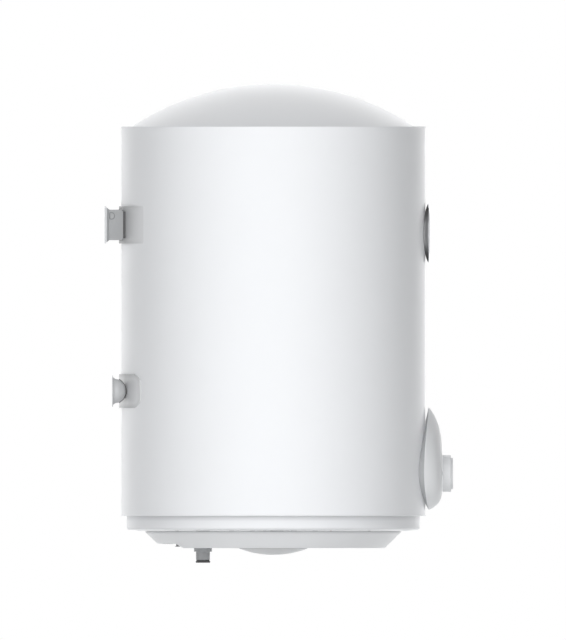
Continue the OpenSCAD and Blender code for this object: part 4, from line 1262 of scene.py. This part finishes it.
# %% Panel
put_down()
bpy.ops.mesh.primitive_circle_add(vertices=AROUND, radius=opening_r,
                                  location=(0, panel_y, knob_z),
                                  rotation=(math.pi / 2, 0, 0))
panel = settle(named("panel_shell"))
bpy.ops.object.mode_set(mode="EDIT")
bpy.ops.mesh.select_all(action="SELECT")
for _ in rings[1:]:
    bpy.ops.mesh.extrude_region_move(
        TRANSFORM_OT_translate={"value": (0, -0.1 * MM, 0)})
bpy.ops.object.mode_set(mode="OBJECT")
order = [round(math.atan2(v.co.z - knob_z, v.co.x) / (2 * math.pi) * AROUND)
         % AROUND for v in panel.data.vertices[:AROUND]]
for i, vertex in enumerate(panel.data.vertices):
    vertex.co = rings[i // AROUND][order[i % AROUND]]
faced_out(merged(panel))
print("faces on the panel's skin:", len(panel.data.polygons))

# %% [markdown]
# The sharp fold between face and side gets a small bevel, the shell gets
# its wall inwards, and a hole is cut for the signal lens. The side wall's
# colour is darker than the face's, a painted shade for the side that turns
# away from the light.

# %% Panel wall and hole
bevelled(panel, 0.5 * MM, 3, 38)
thickened(panel, 2.3 * MM, even=False)
drilled(panel, 4.1 * MM, (0, panel_y - REACH, lens_z),
        (0, panel_y + REACH, lens_z), 48)
# Painted shade: behind the fold the side wall gets a darker colour.
across, back = panel_grey.along("X"), panel_grey.along("Y")
shaded_side_wall = back - across * across * (1 / edge_curve) > edge_y + 0.5 * MM
flow = panel_grey.noise(14.0, 3.0, 0.6, 0.8)
face = panel_grey.mix(flow, PANEL, (0.79, 0.802, 0.815))
panel_grey.set(Base_Color=panel_grey.mix(shaded_side_wall, face,
                                         (0.45, 0.458, 0.467)))
dress(smooth(panel, 30), panel_grey, "control_panel")

# %% [markdown]
# ## Signal lens
#
# The lamp shines through a small amber lens. Rings turned into its front
# spread the light, as on a real pilot light.

# %% Signal lens
line = rounded(mm(0, 0, (0, 0), (1.2, -0.05), (1.5, -0.35), (1.9, -0.15),
                  (2.4, -0.2), (2.7, -0.5), (3.1, -0.35), (3.95, -0.8),
                  (3.95, -5.9), (5.4, -5.9), (5.4, -7.6), (0, -7.6)),
               {6: 0.4, 7: 0.4, 9: 0.3, 10: 0.3})
skin_y = face_point(math.pi / 2, (lens_z - knob_z) / panel_up).y
jewel = turned("signal_lens", line, (0, skin_y + 0.5 * MM, lens_z), "Y", 64)
dress(jewel, amber, "indicator_lens")

# %% [markdown]
# ## The thermostat's knob
#
# The knob is a short skirt with a narrower disc in front, and a hollow
# behind that lets its boss hold the spindle. A small bar let into the disc
# shows where it points, so it is easy to see that it turns.

# %% Knob
knob_r = half_width("thermostat_knob")
knob_back = high("thermostat_knob").y
knob_h = knob_back - knob_front_y
skirt, disc_r = 12.6 * MM, knob_r - 3.8 * MM
line = rounded(mm(knob_r, 0, (-2.4, 0), (-0.4, 0), (0, 1.2))
               + [(knob_r, skirt), (disc_r, skirt), (disc_r, knob_h)]
               + mm(0, knob_h, (0, 0), (0, -3.7), (3.1, -3.7))
               + mm(0, 0, (3.1, 0.6), (7, 0.6))
               + [(7 * MM, skirt - 2.2 * MM)]
               + mm(knob_r, skirt, (-2.4, -2.2)),
               {1: 0.3, 2: 0.6, 3: 0.9, 4: 0.35, 5: 0.9, 10: 0.4}, 6)
knob = turned("knob_body", line, (0, knob_back, knob_z), "Y", 160, True)
mark_z, mark_half = knob_z + 16 * MM, 4.5 * MM
put_down()
bpy.ops.mesh.primitive_cylinder_add(vertices=32, radius=1.1 * MM,
                                    depth=1.6 * MM,
                                    location=(0, knob_front_y, mark_z),
                                    rotation=(math.pi / 2, 0, 0))
mark = settle(named("knob_mark"))
move_points(mark, lambda co: co + Vector((0, 0, math.copysign(
    mark_half, co.z - mark_z))))
cut(knob, copied(mark, "slot_tool"))
move_points(mark, lambda co: Vector((
    co.x * 0.93,
    knob_front_y + (0.12 if co.y < knob_front_y else 0.78) * MM,
    mark_z + (co.z - mark_z) * 0.985)))
bevelled(mark, 0.15 * MM, 2, 50)
dress(smooth(knob, 28), knob_white, "thermostat_knob",
      body="thermostat_control")
dress(smooth(mark, 30), ink, body="thermostat_control")

# %% [markdown]
# ## The thermometer's case
#
# The thermometer sits in a turned case with a saddle-shaped foot that
# follows the drum. The neck flares to the bezel, and a can behind it holds
# the coil. The case is painted grey, and its colour goes nearly black
# towards its top and bottom, a painted shade.

# %% Gauge case
gauge_r, gauge_edge = half_width("gauge_case"), low("gauge_case").y
rise = front_y - gauge_edge
foot_h = 1.6 * MM
line = rounded(mm(0, 0, (0, -13), (36.2, -13), (36.2, -0.6), (37.6, 1.7),
                  (41.3, 3.0))
               + mm(gauge_r, rise, (-0.8, -0.7), (0, 0))
               + [(37 * MM, rise), (36.1 * MM, foot_h), (0, foot_h)],
               {2: 2, 3: 1, 4: 2, 5: 0.3, 6: 0.3, 7: 0.6, 8: 0.4}, 6)
case = turned("gauge_shell", line, (0, front_y, gauge_z), "Y", 160)


def saddled(co):
    """Makes the foot narrower in height and wider across."""
    share = min(1.0, max(0.0, (foot_h - (front_y - co.y)) / foot_h))
    return Vector((co.x * (1 + 0.08 * share), co.y,
                   gauge_z + (co.z - gauge_z) * (1 - 0.12 * share)))


move_points(case, saddled)
drilled(case, jacket_r + 0.3 * MM, (0, axis_y, gauge_z - 80 * MM),
        (0, axis_y, gauge_z + 80 * MM), 480)
can_line = rounded(mm(0, 0, (0, 0.6), (30, 0.6), (30, -17), (28.5, -17),
                      (28.5, -0.6), (0, -0.6)), {2: 0.3, 3: 0.3})
cut(case, turned("gauge_can", can_line, (0, front_y, gauge_z), "Y", 128),
    "UNION")
drilled(case, 1.8 * MM, (0, front_y - 4 * MM, gauge_z),
        (0, front_y + REACH, gauge_z), 32)
# Painted shade: the case's colour goes nearly black towards its top and
# bottom.
shaded_tips = (case_grey.along("Z") - gauge_z).absolute().ramp(14 * MM, 20 * MM)
case_grey.set(Base_Color=case_grey.mix(shaded_tips, (0.29, 0.295, 0.302),
                                       (0.02, 0.0205, 0.0215)))
dress(smooth(case, 28), case_grey, "gauge_case")

# %% [markdown]
# The bezel is a plated ring with a rolled front. It holds the window in.

# %% Gauge bezel
line = rounded(mm(gauge_r, 0, (-6.4, 0.02), (0, 0.02), (-0.1, 0.7),
                  (-1.6, 1.55), (-2.8, 1.58), (-4.2, 1.0), (-6.4, 0.9)),
               {2: 0.5, 3: 0.7, 4: 0.7, 5: 0.8}, 6)
bezel = turned("gauge_ring", line, (0, gauge_edge, gauge_z), "Y", 160, True)
dress(bezel, chrome, "gauge_bezel")

# %% [markdown]
# ## The thermometer's dial
#
# The dial is a white disc with a plain scale from 0 to 100 over 240
# degrees. Each tick is a thin bar at the top of the dial, turned to its
# place. Every tenth is long and wide, and every fifth comes between. The
# figures are text, turned into a mesh.

# %% Dial
dial_r, dial_back = half_width("gauge_dial"), high("gauge_dial").y
line = rounded([(1.8 * MM, 0)]
               + mm(dial_r, 0, (0, 0), (0, 0.6), (-1.0, 0.6), (-1.4, 0.45))
               + [(1.8 * MM, 0.45 * MM)], {2: 0.15, 3: 0.15, 4: 0.15}, 3)
dial = turned("dial_face", line, (0, dial_back, gauge_z), "Y", 128, True)
dress(dial, dial_print, "gauge_dial")
print_y, print_t = dial_back - 0.46 * MM, 0.03 * MM
first_angle, sweep = -120, 240
tick_top, figure_r = gauge_z + dial_r - 2.6 * MM, 24.5 * MM
marks = []
for k in range(51):
    wide, tall = ((0.35, 4.0) if k % 10 == 0 else
                  (0.2275, 3.2) if k % 5 == 0 else (0.175, 1.92))
    tick = block("tick", (-wide * MM, print_y - print_t, tick_top),
                 (wide * MM, print_y + print_t, tick_top - tall * MM))
    marks.append(swing(tick, first_angle + sweep * k / 50, (0, 0, gauge_z),
                       "Y"))
for k in range(6):
    put_down()
    bpy.ops.object.text_add(location=(0, 0, 0), rotation=(math.pi / 2, 0, 0))
    figure = named("figure_%d" % k)
    figure.data.body = str(20 * k)
    figure.data.size = 4.6 * MM
    figure.data.align_x = figure.data.align_y = "CENTER"
    figure.data.extrude = print_t
    bpy.ops.object.convert(target="MESH")
    figure = bpy.context.object
    angle = math.radians(first_angle + sweep * k / 5)
    figure.location = (figure_r * math.sin(angle), print_y,
                       gauge_z + figure_r * math.cos(angle))
    marks.append(settle(figure))
dress(joined(marks, "dial_scale"), ink)

# %% [markdown]
# ## Needle
#
# The needle is a long thin leaf with a short tail and a round hub. It is
# drawn upright, folded a little along its middle, and turned to where it
# rests.

# %% Needle
hub_y = low("gauge_needle").y
tail_l, needle_l, leaf_half = 9 * MM, 33 * MM, 1.15 * MM
rest_angle = -72
put_down()
bpy.ops.mesh.primitive_grid_add(x_subdivisions=2, y_subdivisions=16,
                                size=2, rotation=(math.pi / 2, 0, 0))
leaf = settle(named("leaf"))


def to_leaf(co):
    """Draws a square grid out into the needle's outline, with its fold."""
    reach = (co.z + 1) / 2 * 39 * MM - tail_l
    if reach < 0:
        half = leaf_half + 0.75 * MM * (-reach / tail_l) ** 1.5
    else:
        half = leaf_half * (1 - reach / needle_l) + 0.1 * MM
    fold = 0.2 * MM * (1 - abs(co.x))
    return Vector((co.x * half, hub_y + 0.45 * MM - fold, gauge_z + reach))


applied(faced_out(move_points(leaf, to_leaf)), "SOLIDIFY",
        thickness=0.2 * MM, offset=0)
line = rounded(mm(0, 0, (0, 1.3), (4, 1.3), (4, 0), (1.5, 0), (1.5, -12),
                  (0, -12)), {1: 0.8, 2: 0.2, 4: 0.4})
hub = turned("hub", line, (0, hub_y + 1.3 * MM, gauge_z), "Y", 64)
needle = joined([leaf, hub], "needle_leaf")
swing(needle, rest_angle, (0, 0, gauge_z), "Y")
dress(smooth(needle, 30), needle_red, "gauge_needle", body="needle")

# %% [markdown]
# ## Window
#
# The window is a clear disc, slightly domed, with a thin rim that lies
# under the bezel.

# %% Window
window_r = gauge_r - 6.5 * MM
line = [(window_r * k / 16, (1.9 - 1.1 * (k / 16) ** 2) * MM)
        for k in range(16)]
line += mm(window_r, 0, (-0.3, 0.8), (0, 0.5), (0, 0.05)) + [(0, 0.05 * MM)]
window = turned("gauge_window", line, (0, gauge_edge, gauge_z), "Y", 128)
dress(window, clear_window, "gauge_lens")

# %% [markdown]
# ## What lies inside
#
# The tank, its foam, the heating tube and the rest can't be seen while the
# heater is closed. Their solids are right as they are, so each only gets
# the finish it has on a real heater.

# %% Inner pieces
inside_finishes = {
    foam: ["foam_insulation"],
    tank_steel: ["tank_shell", "tank_top_end", "tank_bottom_end",
                 "tank_flange"],
    zinc: ["element_flange", "flange_studs", "flange_nuts", "anode_nut",
           "gauge_movement"],
    bright_steel: ["heating_element", "thermostat_pocket", "hot_dip_pipe",
                   "thermostat_spindle"],
    magnesium: ["anode_rod"],
    copper: ["thermostat_bulb", "thermostat_capillary"],
    black_rubber: ["flange_gasket"],
    phenolic: ["safety_cutout", "thermostat_body"],
    red_button: ["reset_button"],
    ceramic: ["element_terminals", "terminal_block", "cold_diffuser",
              "indicator_lamp"],
    panel_grey: ["panel_base"],
    sheath: ["wiring_loom", "element_leads"],
}
for finish, nodes in inside_finishes.items():
    for node in nodes:
        finish_node(node, finish)
print("inner solids finished:", sum(map(len, inside_finishes.values())))

# %% [markdown]
# ## The floor and the backdrop
#
# The heater hangs, so the floor lies some way below it. Both floor and sky
# look white to the camera, to gloss and through glass, and give only a
# weak, even fill to everything else. The floor keeps part of its own
# colour there, so that the heater's soft shadow stays on it.

# %% Floor
def seen_rays(tree):
    """1 on camera, gloss and transmission rays, and 0 on all others."""
    path = tree.nodes.new("ShaderNodeLightPath")
    total = path.outputs["Is Camera Ray"]
    for name in ("Is Glossy Ray", "Is Transmission Ray"):
        plus = tree.nodes.new("ShaderNodeMath")
        plus.operation, plus.use_clamp = "ADD", True
        tree.links.new(total, plus.inputs[0])
        tree.links.new(path.outputs[name], plus.inputs[1])
        total = plus.outputs[0]
    return total


def split_by_ray(tree, others, seen, output):
    """Shows one shader to the seen rays and another to all others."""
    pick = tree.nodes.new("ShaderNodeMixShader")
    for i, source in enumerate((seen_rays(tree), others, seen)):
        tree.links.new(source, pick.inputs[i])
    tree.links.new(pick.outputs[0], tree.nodes[output].inputs[0])


floor_z = -0.64
put_down()
bpy.ops.mesh.primitive_plane_add(size=16, location=(0, axis_y, floor_z))
floor = named("floor")
f = Finish("floor_paper", "floor")
tooth = f.noise(60.0, 3.0)
f.set(Base_Color=f.mix(tooth, (0.80, 0.80, 0.80), (0.82, 0.82, 0.82)),
      Roughness=0.9)
f.relief(tooth, 0.05 * MM)
east, north = f.along("X"), f.along("Y") - axis_y
away = (east * east + north * north).root().ramp(0.7, 2)
glow = f.node("ShaderNodeEmission",
              {"Color": f.mix(away, (0.8, 0.8, 0.8), (1.0, 1.0, 1.0))})
both = f.tree.nodes.new("ShaderNodeAddShader")
f.tree.links.new(f.surface.outputs[0], both.inputs[0])
f.tree.links.new(glow.socket, both.inputs[1])
split_by_ray(f.tree, f.surface.outputs[0], both.outputs[0],
             "Material Output")
floor.data.materials.append(f.material)
print("floor at z", floor_z)

# %% [markdown]
# The sky is plain white twice over: weak where it only lights, and at full
# strength where it is seen.

# %% World
SKY_FILL = 0.135
world = bpy.data.worlds.new("white_sky")
bpy.context.scene.world = world
world.use_nodes = True
tree = world.node_tree
skies = (tree.nodes["Background"], tree.nodes.new("ShaderNodeBackground"))
for sky, strength in zip(skies, (SKY_FILL, 1.0)):
    sky.inputs["Color"].default_value = (1, 1, 1, 1)
    sky.inputs["Strength"].default_value = strength
split_by_ray(tree, skies[0].outputs[0], skies[1].outputs[0], "World Output")
print("sky strength:", SKY_FILL)

# %% [markdown]
# ## Lights
#
# One very large soft box stands on the camera's side, a little towards the
# wall. The drum's middle reflects it as a broad pale band, and its light
# fades round the drum with the angle. Two tall strips stand on the far
# side, one towards the wall and one towards the front, and lift the drum's
# edges without casting shadows. A box high on the far side lights the
# dome, and a weak one below lights the underside. The strength of each is
# given as its brightness, and a lamp's power follows from that and its
# size.

# %% Lights
heart = Vector((0, axis_y, -0.14))


def soft_box(name, turn, lift, far, wide, tall, brightness, shadow=True):
    """A soft box that faces the heater.

    turn is its angle round the drum from the camera's side, towards the
    front, and lift its angle above the horizon, in degrees."""
    a, e = math.radians(turn), math.radians(lift)
    away = Vector((-math.cos(a) * math.cos(e), -math.sin(a) * math.cos(e),
                   math.sin(e)))
    bpy.ops.object.light_add(type="AREA", location=heart + away * far)
    lamp = bpy.context.object
    lamp.name = name
    lamp.data.shape = "RECTANGLE"
    lamp.data.size, lamp.data.size_y = wide, tall
    lamp.data.energy = brightness * wide * tall * math.pi
    lamp.rotation_euler = (-away).to_track_quat("-Z", "Y").to_euler()
    lamp.visible_camera = False
    lamp.data.use_shadow = shadow


soft_box("key_box", -4.0, 6, 1.6, 2.4, 3.0, 1.79)
soft_box("back_strip", -144, 0, 2.2, 1.1, 2.6, 2.3, False)
soft_box("front_strip", 151, 0, 2.2, 1.1, 2.6, 2.3, False)
soft_box("top_box", 180, 42, 1.9, 1.8, 1.4, 2.35)
soft_box("low_box", 0, -55, 0.58, 1.2, 1.0, 0.27)

# %% [markdown]
# ## The end
#
# The picture is shown as it is lit, with the plain Standard view.

# %% View settings
bpy.context.scene.view_settings.view_transform = "Standard"
put_down()
